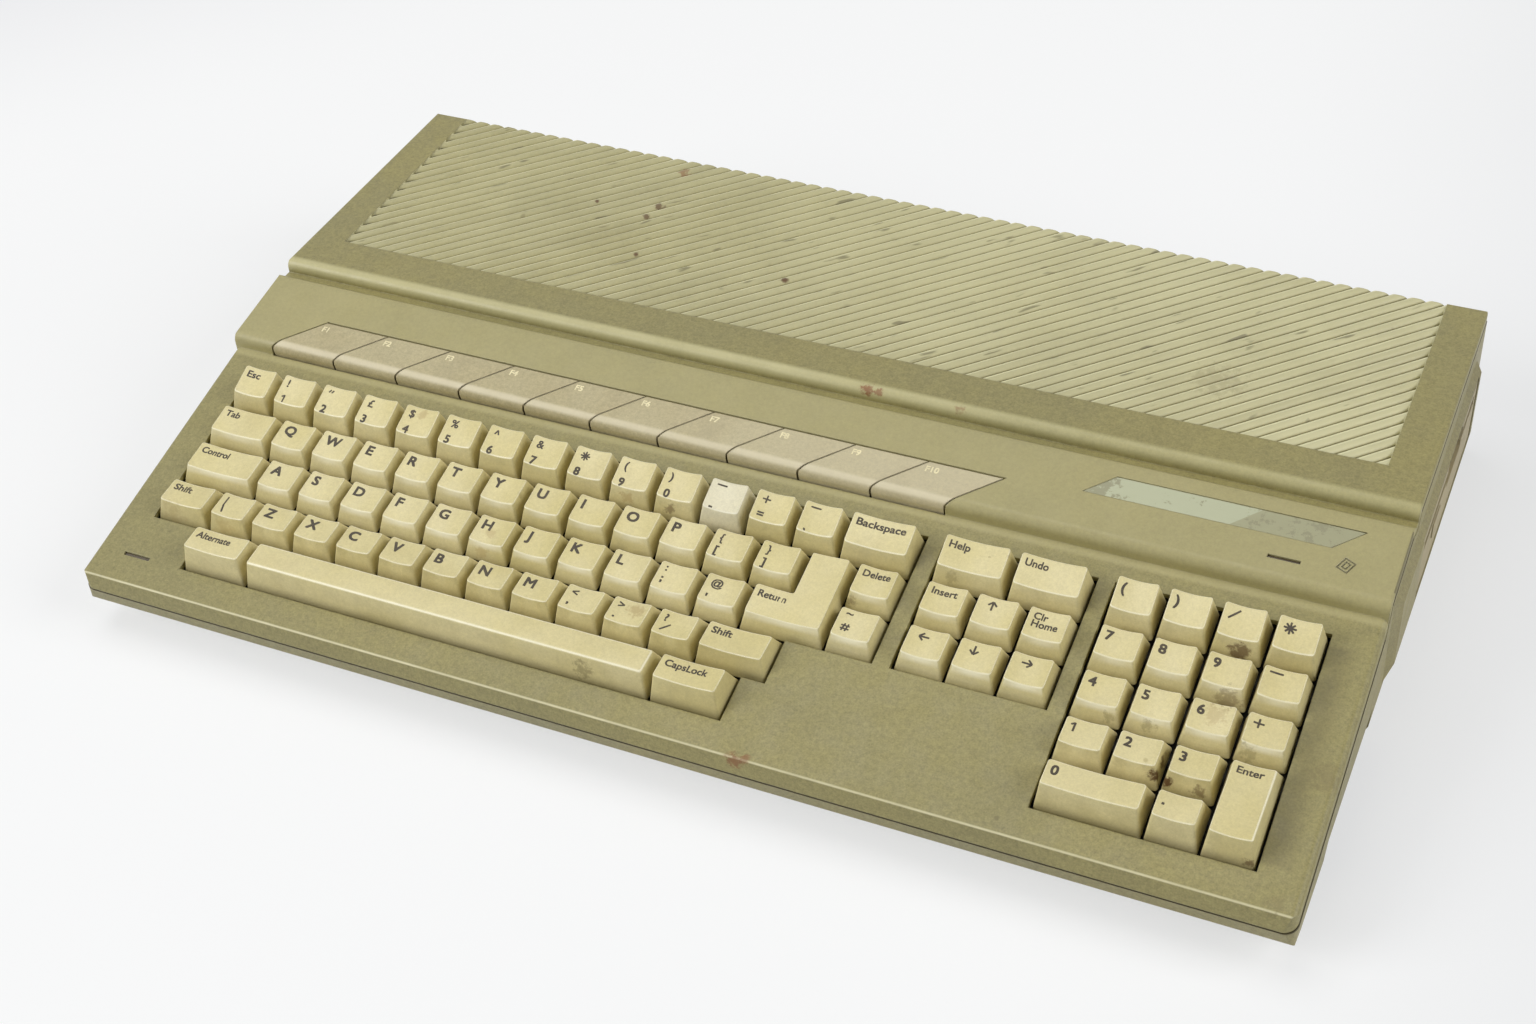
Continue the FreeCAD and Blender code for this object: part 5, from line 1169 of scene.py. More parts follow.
KHAKI = dict(base=paint(142, 135, 91), yellowed=paint(147, 139, 91),
             soiled=paint(102, 93, 58), worn=paint(205, 200, 162))
UPPER_CASE = GrilleMoulding(
    "upper_case_khaki", **KHAKI, seams=CASE_SEAMS, soil=0.14, grain_colour=1.3,
    rough=(0.36, 0.5), edge_radius=0.7 * MM, edge_wear=0.4,
    zones=(
        # Painted sheen on the tier and its front roll.
        zone((-240, -30, 50), (240, 10.6, 67.2), paint(184, 176, 130), 0.5),
        # Painted highlight along the block's front lip, brighter to the left.
        zone((-240, 14, 65), (240, 20.5, 70), paint(204, 198, 150), 0.4),
        zone((-300, 14, 65), (60, 20.5, 70), paint(214, 208, 162), 0.3, fade=90),
        # Painted highlight along the front ridge.
        zone((-240, -147, 28.05), (240, -143.1, 31), paint(226, 220, 182), 0.75, soft=0.3),
        # Painted shadow on the deck right of the keypad.
        zone((220, -128, 26), (228, -42, 54), paint(96, 88, 56), 0.5, fade=5),
    ),
    spots=marks(CASE_MARKS, in_millimetres),
)
LOWER_CASE = Moulding(
    "lower_case_khaki", paint(142, 136, 101), paint(147, 139, 99), paint(96, 88, 60),
    paint(190, 186, 156), seams=CASE_SEAMS, soil=0.25, grain_colour=1.3,
    rough=(0.38, 0.52), edge_radius=0.6 * MM, edge_wear=0.4,
)
DRIVE_FRONT = Moulding(
    "drive_front_grey", paint(166, 156, 128), paint(170, 158, 124), paint(100, 90, 66),
    paint(196, 190, 164), soil=0.25, edge_radius=0.4 * MM, edge_wear=0.4,
)
KEY_MARKS = (
    ((21.26, 0, 11.0, 17.6, 1.5), 5.0, 0.75, GRIME, 1.0),
    ((21.26, 1, 12.0, 17.8, 1.0), 5.5, 0.45, GRIME, 1.1),
    ((20.26, 3, 16.8, 15.5, 2.5), 3.2, 0.95, GRIME, 0.9),
    ((21.26, 3, 2.4, 16.8, 2.0), 3.0, 0.95, GRIME, 0.9),
    ((20.26, 3, 17.4, 9.5, 1.5), 3.4, 0.7, GRIME, 1.0),
    ((21.26, 3, 13.5, 17.2, 1.5), 3.0, 0.6, GRIME, 1.1),
    ((22.26, 4, 16.4, 18.0, 0.5), 2.4, 0.7, GRIME, 1.0),
    ((21.26, 2, 10.5, 7.0, 4.6), 5.0, 0.45, STAIN, 1.0),
    ((19.26, 2, 14.0, 17.2, 1.0), 3.0, 0.45, FILM, 1.1),
    ((20.26, 2, 9.0, 17.0, 2.0), 3.2, 0.45, FILM, 1.1),
    ((22.26, 2, 5.0, 17.0, 2.0), 4.0, 0.4, FILM, 1.1),
    ((0, 3, 8.0, 17.6, 2.0), 6.0, 0.3, STAIN, 1.2),
    ((1.25, 3, 8.0, 17.6, 2.0), 4.5, 0.3, STAIN, 1.2),
    ((10.25, 3, 12.0, 7.5, 5.6), 4.0, 0.6, STAIN, 1.0),
    ((9.77, 4, 12.0, 17.4, 4.0), 4.5, 0.55, FILM, 1.2),
    ((6.75, 2, 9.0, 9.5, 4.2), 3.2, 0.5, STAIN, 1.0),
    ((6.75, 2, 8.0, 17.2, 1.0), 3.6, 0.5, STAIN, 1.1),
    ((4.0, 0, 10.0, 5.0, 8.2), 2.6, 0.55, STAIN, 1.0),
    ((9.0, 0, 9.0, 17.0, 3.0), 3.4, 0.6, STAIN, 1.1),
    ((10.0, 0, 8.0, 17.2, 2.6), 3.0, 0.6, GRIME, 1.1),
    ((14.5, 1, 3.6, 16.6, 2.0), 2.6, 0.5, GRIME, 1.0),
    ((15.89, 0, 8.0, 17.4, 3.0), 3.4, 0.35, FILM, 1.1),
)
KEY_PLASTIC = dict(patch_scale=21.0, grain_scale=1700.0, grain_colour=0.5, grain_depth=0.05,
                   edge_radius=0.6 * MM, edge_wear=0.85, rough=(0.34, 0.46), specular=0.5,
                   speck_share=0.04)
KEY_CREAM = KeyMoulding(
    "key_cream", paint(219, 208, 159), paint(209, 197, 141), paint(164, 148, 98),
    paint(252, 248, 222), **KEY_PLASTIC, soil=0.22,
    spots=marks(KEY_MARKS, on_cap),
)
KEY_WHITER = KeyMoulding(
    "key_paler", paint(225, 219, 190), paint(219, 212, 178), paint(178, 166, 124),
    paint(244, 241, 222), **KEY_PLASTIC, soil=0.15,
)
FUNCTION_KEY = FunctionMoulding(
    "function_key_beige", paint(184, 174, 138), paint(178, 167, 130), paint(120, 106, 76),
    paint(92, 78, 52), soil=0.28, patch_scale=24.0, grain_colour=0.9,
    edge_radius=0.6 * MM, edge_wear=0.6, rough=(0.42, 0.56),
)
BLACK_SOCKET = Smooth("socket_black", paint(34, 33, 31), paint(104, 98, 82))
PLATE_BLACK = Smooth("key_plate_black", paint(40, 38, 32), paint(96, 88, 66), dust=0.6,
                     rough=(0.5, 0.7))
CHIP_BLACK = Smooth("chip_black", paint(38, 38, 40), paint(110, 106, 96), rough=(0.35, 0.6))
FOOT_RUBBER = Smooth("foot_rubber", paint(44, 43, 41), paint(110, 106, 98), dust=0.5,
                     rough=(0.7, 0.85), bump_scale=900.0, bump_depth=0.2)
LAMP_LENS = Smooth("lamp_lens", paint(60, 48, 30), paint(120, 104, 70), dust=0.3,
                   rough=(0.15, 0.35), coat=0.4)
RIBBON = Smooth("ribbon_cable_grey", paint(150, 150, 148), paint(120, 116, 104), rough=(0.4, 0.6))
STEEL = Sheet("plated_sheet_steel", paint(198, 196, 188), paint(140, 132, 112))
SCREW = Sheet("screw_steel", paint(176, 174, 166), paint(110, 100, 82), rough=(0.3, 0.5),
              brushing=(500.0, 500.0, 500.0))
BADGE = BadgePlate("badge_strip", paint(200, 202, 178), paint(150, 148, 122), rough=(0.3, 0.46),
                   metallic=0.35, brushing=(30.0, 900.0, 900.0))
BOARD = Laminate("circuit_board")
KEY_INK = Ink("legend_dark", paint(58, 50, 37), paint(84, 75, 56))
PALE_INK = Ink("legend_cream", paint(240, 230, 188), paint(216, 206, 168))


def clear_choice() -> None:
    """Leaves nothing selected."""
    if bpy.context.object and bpy.context.object.mode != "OBJECT":
        bpy.ops.object.mode_set(mode="OBJECT")
    bpy.ops.object.select_all(action="DESELECT")


def choose(*objects: bpy.types.Object) -> None:
    """Selects only these objects, the first of them active."""
    clear_choice()
    for piece in objects:
        piece.select_set(True)
    bpy.context.view_layer.objects.active = objects[0]


def settle(piece: bpy.types.Object, place: Matrix) -> None:
    """Moves a piece and keeps its place in its mesh.

    Args:
        piece: the piece.
        place: where it goes.
    """
    choose(piece)
    piece.matrix_world = place
    bpy.context.view_layer.update()
    bpy.ops.object.transform_apply(location=True, rotation=True, scale=True)


class Part(Enum):
    """What is picked in edit mode."""

    VERTEX = "VERT"
    EDGE = "EDGE"
    FACE = "FACE"


def pick(part: Part, test: Callable[[Vector, Vector], bool]) -> None:
    """Selects what a test passes in the mesh that is being edited.

    Args:
        part: whether vertices, edges or faces are picked.
        test: gets the middle and, for an edge, its run, for a face or vertex, its normal.
    """
    bpy.ops.mesh.select_mode(type=part.value)
    bpy.ops.mesh.select_all(action="DESELECT")
    mesh = bmesh.from_edit_mesh(bpy.context.edit_object.data)
    if part is Part.VERTEX:
        chosen = [v for v in mesh.verts if test(v.co, v.normal)]
    elif part is Part.EDGE:
        chosen = [e for e in mesh.edges
                  if test((e.verts[0].co + e.verts[1].co) / 2, e.verts[1].co - e.verts[0].co)]
    else:
        chosen = [f for f in mesh.faces if test(f.calc_center_median(), f.normal)]
    for item in chosen:
        item.select = True
    mesh.select_flush_mode()
    bmesh.update_edit_mesh(bpy.context.edit_object.data)


def move_picked(x: float, y: float, z: float) -> None:
    """Moves what is picked."""
    bpy.ops.transform.translate(value=(x, y, z))


@dataclass(frozen=True)
class CapForm:
    """A moulded key cap drawn on the flat deck: its cell's rear left corner is the origin.

    Cells of a stepped cap are (left, right, rear, front) in pitches, the wide one last.
    """

    wide: float
    deep: float
    rear_height: float
    front_height: float
    rear_inset: float
    front_inset: float = 4.5 * MM
    side_inset: float = 2.3 * MM
    gap: float = 0.45 * MM
    skirt: float = 2.5 * MM
    dish: float = 1.0 * MM
    corner: float = 1.0 * MM
    rim: float = 0.34 * MM
    step: float = 0.0
    blank: float = 4 * MM
    wall: float = 1.4 * MM
    hollow_depth: float = 2.0 * MM
    cut_clearance: float = 1.6 * MM
    smooth_angle: float = math.radians(13)
    sharp_angle: float = math.radians(45)
    upright_run: float = 3 * MM
    narrow_cuts: int = 8
    wide_cuts: int = 12
    corner_cuts: int = 4
    rim_cuts: int = 3

    @property
    def right(self) -> float:
        """The right edge of the cell."""
        return self.wide * KEY_PITCH

    @property
    def front(self) -> float:
        """The front edge of the cell."""
        return -self.deep * KEY_PITCH

    def height(self, y: float) -> float:
        """Height of the undished top at a depth of the cell.

        Args:
            y: the depth, 0 at the rear and less towards the user.
        Returns:
            The height above the deck.
        """
        rear, front = -self.rear_inset, self.front + self.front_inset
        share = (y - front) / (rear - front)
        return self.front_height + (self.rear_height - self.front_height) * share

    def columns(self) -> list[float]:
        """Where the top bends across its width.

        Returns:
            The places, from left to right.
        """
        low, high = self.side_inset, self.right - self.side_inset
        count = self.narrow_cuts if self.wide < 2 else self.wide_cuts
        return [low + (high - low) * index / count for index in range(count + 1)]

    def sag(self, x: float) -> float:
        """How far the dish lies below the undished top at a place across it.

        Args:
            x: the place, from the cell's left edge.
        Returns:
            The depth of the dish.
        """
        if not self.dish:
            return 0.0
        columns = self.columns()
        x = min(max(x, columns[0]), columns[-1])
        half = (columns[-1] - columns[0]) / 2
        middle = (columns[-1] + columns[0]) / 2

        def depth(at: float) -> float:
            """Depth of the smooth dish."""
            return self.dish * (1 - ((at - middle) / half) ** 2)

        for low, high in zip(columns, columns[1:]):
            if x <= high + TINY * MM:
                share = (x - low) / (high - low)
                return depth(low) * (1 - share) + depth(high) * share
        return 0.0

    def build(self, name: str) -> bpy.types.Object:
        """Models the cap from a block: cut into columns, drawn in, dished, rounded and hollowed.

        Args:
            name: the new object's name.
        Returns:
            The cap, drawn on the flat deck.
        """
        low, high = -self.skirt, self.blank
        gap = self.gap
        rear_row_front = -KEY_PITCH + gap if self.step else self.front + gap
        wide_rear = -KEY_PITCH - gap if self.step else -gap
        size = (self.right - 2 * gap, wide_rear - (self.front + gap), high - low)
        middle = (self.right / 2, (wide_rear + self.front + gap) / 2, (low + high) / 2)
        clear_choice()
        bpy.ops.mesh.primitive_cube_add(size=1, location=middle, scale=size)
        cap = bpy.context.object
        cap.name = name
        bpy.ops.object.transform_apply(location=True, rotation=True, scale=True)
        bpy.ops.object.mode_set(mode="EDIT")
        cuts = self.columns()[1:-1]
        if self.step:
            cuts = [x for x in cuts if abs(x - self.step) > self.cut_clearance]
            cuts.append(self.step + gap)
        for x in cuts:
            bpy.ops.mesh.select_all(action="SELECT")
            bpy.ops.mesh.bisect(plane_co=(x, 0, 0), plane_no=(1, 0, 0))
        if self.step:
            pick(Part.FACE, lambda at, normal: normal.y > FACING and at.x > self.step + gap)
            bpy.ops.mesh.extrude_region_move(TRANSFORM_OT_translate={"value": (0, KEY_PITCH, 0)})
        self.draw_in(wide_rear)
        self.soften()
        self.hollow()
        bpy.ops.object.mode_set(mode="OBJECT")
        bpy.ops.object.shade_smooth_by_angle(angle=self.smooth_angle)
        return cap

    def draw_in(self, wide_rear: float) -> None:
        """Draws the top edges in, slopes the top and sinks the dish.

        Args:
            wide_rear: the rear wall of the wide part.
        """
        gap, side = self.gap, self.side_inset - self.gap
        rear_wall, step_wall = -gap, self.step + gap

        def top(at: Vector) -> bool:
            """Whether a vertex is on the block's top."""
            return at.z > self.blank - TINY

        pick(Part.VERTEX, lambda at, normal: top(at) and abs(at.x - gap) < TINY)
        move_picked(side, 0, 0)
        pick(Part.VERTEX, lambda at, normal: top(at) and abs(at.x - self.right + gap) < TINY)
        move_picked(-side, 0, 0)
        pick(Part.VERTEX, lambda at, normal: top(at) and abs(at.y - rear_wall) < TINY)
        move_picked(0, gap - self.rear_inset, 0)
        pick(Part.VERTEX, lambda at, normal: top(at) and abs(at.y - self.front - gap) < TINY)
        move_picked(0, self.front_inset - gap, 0)
        if self.step:
            def low_part(at: Vector) -> bool:
                """Whether a top vertex is on the rear wall of the wide part."""
                return top(at) and abs(at.y - wide_rear) < TINY and at.x < step_wall + TINY

            pick(Part.VERTEX, lambda at, normal: low_part(at))
            move_picked(0, gap - self.rear_inset, 0)
            pick(Part.VERTEX, lambda at, normal: top(at) and abs(at.x - step_wall) < TINY
                 and at.y > self.front + self.front_inset + TINY)
            move_picked(side, 0, 0)
        mesh = bmesh.from_edit_mesh(bpy.context.edit_object.data)
        targets = [(v.co.copy(), self.height(v.co.y) - self.sag(v.co.x) - self.blank)
                   for v in mesh.verts if top(v.co)]
        for place, rise in targets:
            pick(Part.VERTEX, lambda at, normal, here=place: (at - here).length < TINY)
            move_picked(0, 0, rise)

    def soften(self) -> None:
        """Rounds the upright corners, then the rim."""

        def corner(at: Vector, run: Vector) -> bool:
            """Whether an edge is an upright corner, an outer one or the one in the step.

            Args:
                at: the edge's middle.
                run: the way from its one end to the other.
            Returns:
                Whether it is one.
            """
            if abs(run.z) < self.upright_run:
                return False
            if at.x < self.side_inset or at.x > self.right - self.side_inset:
                return True
            inner = abs(at.x - self.step - self.gap) < 2 * MM
            return bool(self.step) and inner and abs(run.x) > 1 * MM

        pick(Part.EDGE, corner)
        bpy.ops.mesh.bevel(offset=self.corner, segments=self.corner_cuts, affect="EDGES")
        bpy.ops.mesh.select_mode(type="EDGE")
        bpy.ops.mesh.select_all(action="DESELECT")
        bpy.ops.mesh.edges_select_sharp(sharpness=self.sharp_angle)
        mesh = bmesh.from_edit_mesh(bpy.context.edit_object.data)
        for edge in mesh.edges:
            if edge.select and min(v.co.z for v in edge.verts) < 0:
                edge.select = False
        mesh.select_flush_mode()
        bmesh.update_edit_mesh(bpy.context.edit_object.data)
        bpy.ops.mesh.bevel(offset=self.rim, segments=self.rim_cuts, affect="EDGES",
                           clamp_overlap=True)

    def hollow(self) -> None:
        """Hollows the cap from below."""
        foot = 0.1 * MM - self.skirt
        pick(Part.FACE, lambda at, normal: normal.z < -FACING and at.z < foot)
        bpy.ops.mesh.inset(thickness=self.wall, use_even_offset=True)
        bpy.ops.mesh.extrude_region_move(
            TRANSFORM_OT_translate={"value": (0, 0, self.hollow_depth)})
        bpy.ops.mesh.select_all(action="SELECT")
        bpy.ops.mesh.normals_make_consistent(inside=False)


class Sign(Enum):
    """Signs drawn as strokes, each (from x, from y, to x, to y) in a square one capital high."""

    STAR = ((0.5, -0.1, 0.5, 1.1), (-0.1, 0.5, 1.1, 0.5),
            (0.1, 0.1, 0.9, 0.9), (0.1, 0.9, 0.9, 0.1))
    ONE = ((0.42, 0.0, 0.42, 1.0), (0.42, 0.96, 0.08, 0.7))
    PLUS = ((0.5, 0.0, 0.5, 1.0), (0.0, 0.5, 1.0, 0.5))
    DASH = ((0.0, 0.8, 1.25, 0.8),)
    SLASH = ((0.0, 0.0, 0.95, 1.0),)
    HASH = ((0.0, 0.3, 1.0, 0.3), (0.0, 0.7, 1.0, 0.7), (0.2, 0.0, 0.4, 1.0), (0.6, 0.0, 0.8, 1.0))
    QUOTE = ((0.05, 0.6, 0.25, 1.0), (0.4, 0.6, 0.6, 1.0))
    UP = ((0.5, 0.0, 0.5, 0.95), (0.5, 1.0, 0.08, 0.55), (0.5, 1.0, 0.92, 0.55))
    DOWN = ((0.5, 0.05, 0.5, 1.0), (0.5, 0.0, 0.08, 0.45), (0.5, 0.0, 0.92, 0.45))
    LEFT = ((0.05, 0.5, 1.0, 0.5), (0.0, 0.5, 0.45, 0.92), (0.0, 0.5, 0.45, 0.08))
    RIGHT = ((0.0, 0.5, 0.95, 0.5), (1.0, 0.5, 0.55, 0.92), (1.0, 0.5, 0.55, 0.08))


@dataclass(frozen=True)
class Legend:
    """Lettering on one cap: words or a sign, a capital's height and the top left corner."""

    words: str | Sign
    capital: float = 4.2 * MM
    left: float = 2.1 * MM
    down: float = 1.8 * MM
    width: float = 0.0
    bold: float = 0.048
    stroke: float = 0.19


@dataclass(frozen=True)
class Key:
    """One key: where its cell starts, its row, its size in pitches and its legends."""

    start: float
    row: int
    legends: tuple[Legend, ...] = ()
    wide: float = 1.0
    deep: int = 1
    paler: bool = False


def letter(words: str) -> tuple[Legend, ...]:
    """The single large legend of a letter key."""
    return (Legend(words),)


def pair(upper: str | Sign, lower: str | Sign, lower_down: float = 8.6 * MM) -> tuple[Legend, ...]:
    """Shifted sign above and plain sign below, as on the number row."""
    return (Legend(upper, 3.2 * MM, 2.3 * MM, 1.7 * MM, bold=0.032),
            Legend(lower, 3.3 * MM, 2.3 * MM, lower_down, bold=0.045))


def word(words: str, width: float) -> tuple[Legend, ...]:
    """A small word along the rear edge, set to its real width."""
    return (Legend(words, 2.85 * MM, 1.9 * MM, 1.7 * MM, width, 0.034),)


def figure(words: str | Sign) -> tuple[Legend, ...]:
    """A keypad figure or sign."""
    return (Legend(words, 3.8 * MM, 1.9 * MM, 1.8 * MM, bold=0.045),)


def arrow(sign: Sign) -> tuple[Legend, ...]:
    """A cursor arrow."""
    return (Legend(sign, 3.8 * MM, 3.8 * MM, 1.8 * MM),)


def letters(words: str, start: float, row: int) -> list[Key]:
    """A run of letter keys side by side."""
    return [Key(start + index, row, letter(sign)) for index, sign in enumerate(words)]


NUMBER_SIGNS = (("!", Sign.ONE), (Sign.QUOTE, "2"), ("£", "3"), ("$", "4"), ("%", "5"),
                ("^", "6"), ("&", "7"), (Sign.STAR, "8"), ("(", "9"), (")", "0"),
                (Sign.DASH, "-"), (Sign.PLUS, "="), (Sign.DASH, "`"))
KEYPAD_SIGNS = (("(", ")", Sign.SLASH, Sign.STAR), ("7", "8", "9", Sign.DASH),
                ("4", "5", "6", Sign.PLUS), (Sign.ONE, "2", "3"))
CURSORS, KEYPAD = 15.89, 19.26

KEY_NODES: dict[str, list[Key]] = {
    "number_row_keys": [Key(0, 0, word("Esc", 5.9 * MM))] + [
        Key(1 + index, 0, pair(*signs), paler=signs[1] == "-")
        for index, signs in enumerate(NUMBER_SIGNS)],
    "backspace_key": [Key(14, 0, word("Backspace", 19.3 * MM), 1.5)],
    "tab_key": [Key(0, 1, word("Tab", 6.4 * MM), 1.5)],
    "upper_row_keys": letters("QWERTYUIOP", 1.5, 1) + [
        Key(11.5, 1, pair("{", "[", 7.4 * MM)), Key(12.5, 1, pair("}", "]", 7.4 * MM)),
        Key(14.5, 1, word("Delete", 10.6 * MM))],
    "control_key": [Key(0, 2, word("Control", 12.4 * MM), 1.75)],
    "home_row_keys": letters("ASDFGHJKL", 1.75, 2) + [
        Key(10.75, 2, pair(":", ";", 6.6 * MM)), Key(11.75, 2, pair("@", "'", 7.0 * MM)),
        Key(14.5, 2, pair("~", Sign.HASH, 6.4 * MM))],
    "left_shift_key": [Key(0, 3, word("Shift", 7.9 * MM), 1.25)],
    "lower_row_keys": [Key(1.25, 3, pair("|", "\\", 5.8 * MM))] + letters("ZXCVBNM", 2.25, 3) + [
        Key(9.25, 3, pair("<", ",", 6.0 * MM)), Key(10.25, 3, pair(">", ".", 6.0 * MM)),
        Key(11.25, 3, pair("?", Sign.SLASH, 5.8 * MM))],
    "right_shift_key": [Key(12.25, 3, word("Shift", 7.9 * MM), 1.5)],
    "alternate_key": [Key(1.27, 4, word("Alternate", 15.0 * MM), 1.5)],
    "space_bar": [Key(2.77, 4, (), 9.0)],
    "caps_lock_key": [Key(11.77, 4, word("CapsLock", 16.4 * MM), 1.5)],
    "help_undo_keys": [Key(CURSORS, 0, word("Help", 7.9 * MM), 1.5),
                       Key(CURSORS + 1.5, 0, word("Undo", 8.7 * MM), 1.5)],
    "cursor_keys": [
        Key(CURSORS, 1, word("Insert", 9.6 * MM)), Key(CURSORS + 1, 1, arrow(Sign.UP)),
        Key(CURSORS + 2, 1, word("Clr\nHome", 9.6 * MM)), Key(CURSORS, 2, arrow(Sign.LEFT)),
        Key(CURSORS + 1, 2, arrow(Sign.DOWN)), Key(CURSORS + 2, 2, arrow(Sign.RIGHT))],
    "keypad_keys": [Key(KEYPAD + index, row, figure(sign)) for row, signs in enumerate(KEYPAD_SIGNS)
                    for index, sign in enumerate(signs)] + [
        Key(KEYPAD, 4, figure("0"), 2.0), Key(KEYPAD + 2, 4, figure("."))],
    "keypad_enter_key": [Key(KEYPAD + 3, 3, word("Enter", 9.2 * MM), 1.0, 2)],
}
SMALL_SIGNS = (".", ",", "'", "`", "-")
RETURN_LEGEND = Legend("Return", 2.85 * MM, 1.9 * MM, 1.9 * MM + KEY_PITCH, 10.8 * MM, 0.034)


@dataclass
class Keyboard:
    """The key caps and their legends, and the legends of the slanted function keys."""

    finishes: Finishes
    rear_heights: tuple[float, ...] = (9.1 * MM, 5.6 * MM, 4.7 * MM, 5.8 * MM, 8.9 * MM)
    front_heights: tuple[float, ...] = (7.1 * MM, 5.7 * MM, 5.2 * MM, 7.0 * MM, 10.0 * MM)
    rear_insets: tuple[float, ...] = (2.3 * MM, 2.3 * MM, 2.3 * MM, 3.6 * MM, 4.3 * MM)
    return_place: tuple[float, int] = (12.75, 1)
    return_size: tuple[float, int] = (1.75, 2)
    return_step: float = 0.75
    bar_from: float = 3.0
    bar_rim: float = 1.0 * MM
    proud: float = 0.05 * MM
    line_space: float = 0.8
    letter_steps: int = 3
    merge: float = 0.002 * MM
    function_pitch: float = 29.42 * MM
    function_legend: tuple[float, float] = (-203.2 * MM, -11.6 * MM)
    function_capital: float = 2.6 * MM
    function_bold: float = 0.045
    function_keys: int = 10
    forms: dict[CapForm, bpy.types.Object] = field(default_factory=dict)

    def form(self, key: Key) -> CapForm:
        """The shape of one key's cap, from its row and size.

        Args:
            key: the key.
        Returns:
            The shape.
        """
        form = CapForm(key.wide, key.deep, self.rear_heights[key.row],
                       self.front_heights[key.row + key.deep - 1], self.rear_insets[key.row])
        return replace(form, dish=0.0, rim=self.bar_rim) if key.wide > self.bar_from else form

    def master(self, form: CapForm) -> bpy.types.Object:
        """The cap of this form that the others are copied from, modelled the first time.

        Args:
            form: the cap's shape.
        Returns:
            The cap.
        """
        if form not in self.forms:
            self.forms[form] = form.build(f"cap_form_{len(self.forms)}")
        return self.forms[form]

    def copied(self, first: bpy.types.Object) -> bpy.types.Object:
        """A copy of a cap with its own mesh.

        Args:
            first: the piece that is copied.
        Returns:
            The copy.
        """
        copy = first.copy()
        copy.data = first.data.copy()
        bpy.context.scene.collection.objects.link(copy)
        return copy

    def lettering(self, form: CapForm, legend: Legend) -> bpy.types.Object:
        """Lettering that follows a cap's dished top.

        Args:
            form: the cap's shape.
            legend: the words, their height and place.
        Returns:
            A closed mesh drawn on the flat deck.
        """
        if isinstance(legend.words, Sign):
            text = self.strokes(legend)
        else:
            text = self.words(legend.words, legend.capital, legend.bold)
        left = min(v.co.x for v in text.data.vertices)
        wide = max(v.co.x for v in text.data.vertices) - left
        top = max(v.co.y for v in text.data.vertices)
        squeeze = legend.width / wide if legend.width else 1.0
        if legend.words in SMALL_SIGNS:
            top = legend.capital + min(v.co.y for v in text.data.vertices)
        for vertex in text.data.vertices:
            x = form.side_inset + legend.left + (vertex.co.x - left) * squeeze
            y = -form.rear_inset - legend.down + vertex.co.y - top
            vertex.co = (x, y, form.height(y) - form.sag(x) + vertex.co.z)
        return text

    def words(self, words: str, capital: float, bold: float) -> bpy.types.Object:
        """Sets words as thin closed letters.

        Args:
            words: what they say.
            capital: height of a capital.
            bold: how far the strokes are thickened each way, as a share of a capital.
        Returns:
            The letters as a mesh.
        """
        clear_choice()
        bpy.ops.object.text_add()
        text = bpy.context.object
        text.data.body = words
        text.data.size = capital / CAPITAL_SHARE
        text.data.extrude = self.proud
        text.data.resolution_u = self.letter_steps
        text.data.align_y = "TOP"
        text.data.space_line = self.line_space
        bpy.ops.object.convert(target="MESH")
        text = bpy.context.object
        bpy.ops.object.mode_set(mode="EDIT")
        bpy.ops.mesh.select_all(action="SELECT")
        bpy.ops.mesh.remove_doubles(threshold=self.merge)
        bpy.ops.mesh.normals_make_consistent(inside=False)
        bpy.ops.object.mode_set(mode="OBJECT")
        if not bold:
            return text
        strikes = [text]
        for index, (x, y) in enumerate(((1, 1), (-1, 1), (1, -1), (-1, -1))):
            strike = self.copied(text)
            shift = bold * capital
            lift = (index + 1) * self.merge / 2
            strike.data.transform(Matrix.Translation((x * shift, y * shift, lift)))
            strikes.append(strike)
        return self.joined(strikes, "words")

    def strokes(self, legend: Legend) -> bpy.types.Object:
        """Draws a sign from thin bars with mitred ends.

        Args:
            legend: the sign and its height.
        Returns:
            The bars as one mesh.
        """
        bars = []
        for index, (x_from, y_from, x_to, y_to) in enumerate(legend.words.value):
            start, end = Vector((x_from, y_from, 0)), Vector((x_to, y_to, 0))
            run = (end - start) * legend.capital
            middle = (start + end) / 2 * legend.capital
            lift = index * self.merge
            clear_choice()
            bpy.ops.mesh.primitive_cube_add(
                size=1, location=(*middle.xy, lift), rotation=(0, 0, math.atan2(run.y, run.x)),
                scale=(run.length, legend.stroke * legend.capital, 2 * self.proud))
            bpy.ops.object.transform_apply(location=True, rotation=True, scale=True)
            bpy.ops.object.mode_set(mode="EDIT")
            pick(Part.EDGE, lambda at, way: abs(way.z) > self.proud)
            bpy.ops.mesh.bevel(offset=0.05 * legend.capital, segments=2, affect="EDGES")
            bpy.ops.object.mode_set(mode="OBJECT")
            bars.append(bpy.context.object)
        return self.joined(bars, "sign")

    def place(self, piece: bpy.types.Object, start: float, row: int) -> None:
        """Lays a piece drawn on the flat deck at its cell on the sloping deck."""
        settle(piece, DECK @ Matrix.Translation((start * KEY_PITCH, -row * KEY_PITCH, 0)))

    def joined(self, pieces: Sequence[bpy.types.Object], name: str) -> bpy.types.Object:
        """Joins pieces into one object of that name.

        Args:
            pieces: the pieces.
            name: the name of the object and its mesh.
        Returns:
            The object.
        """
        choose(*pieces)
        if len(pieces) > 1:
            bpy.ops.object.join()
        piece = bpy.context.object
        piece.name = name
        piece.data.name = name
        return piece

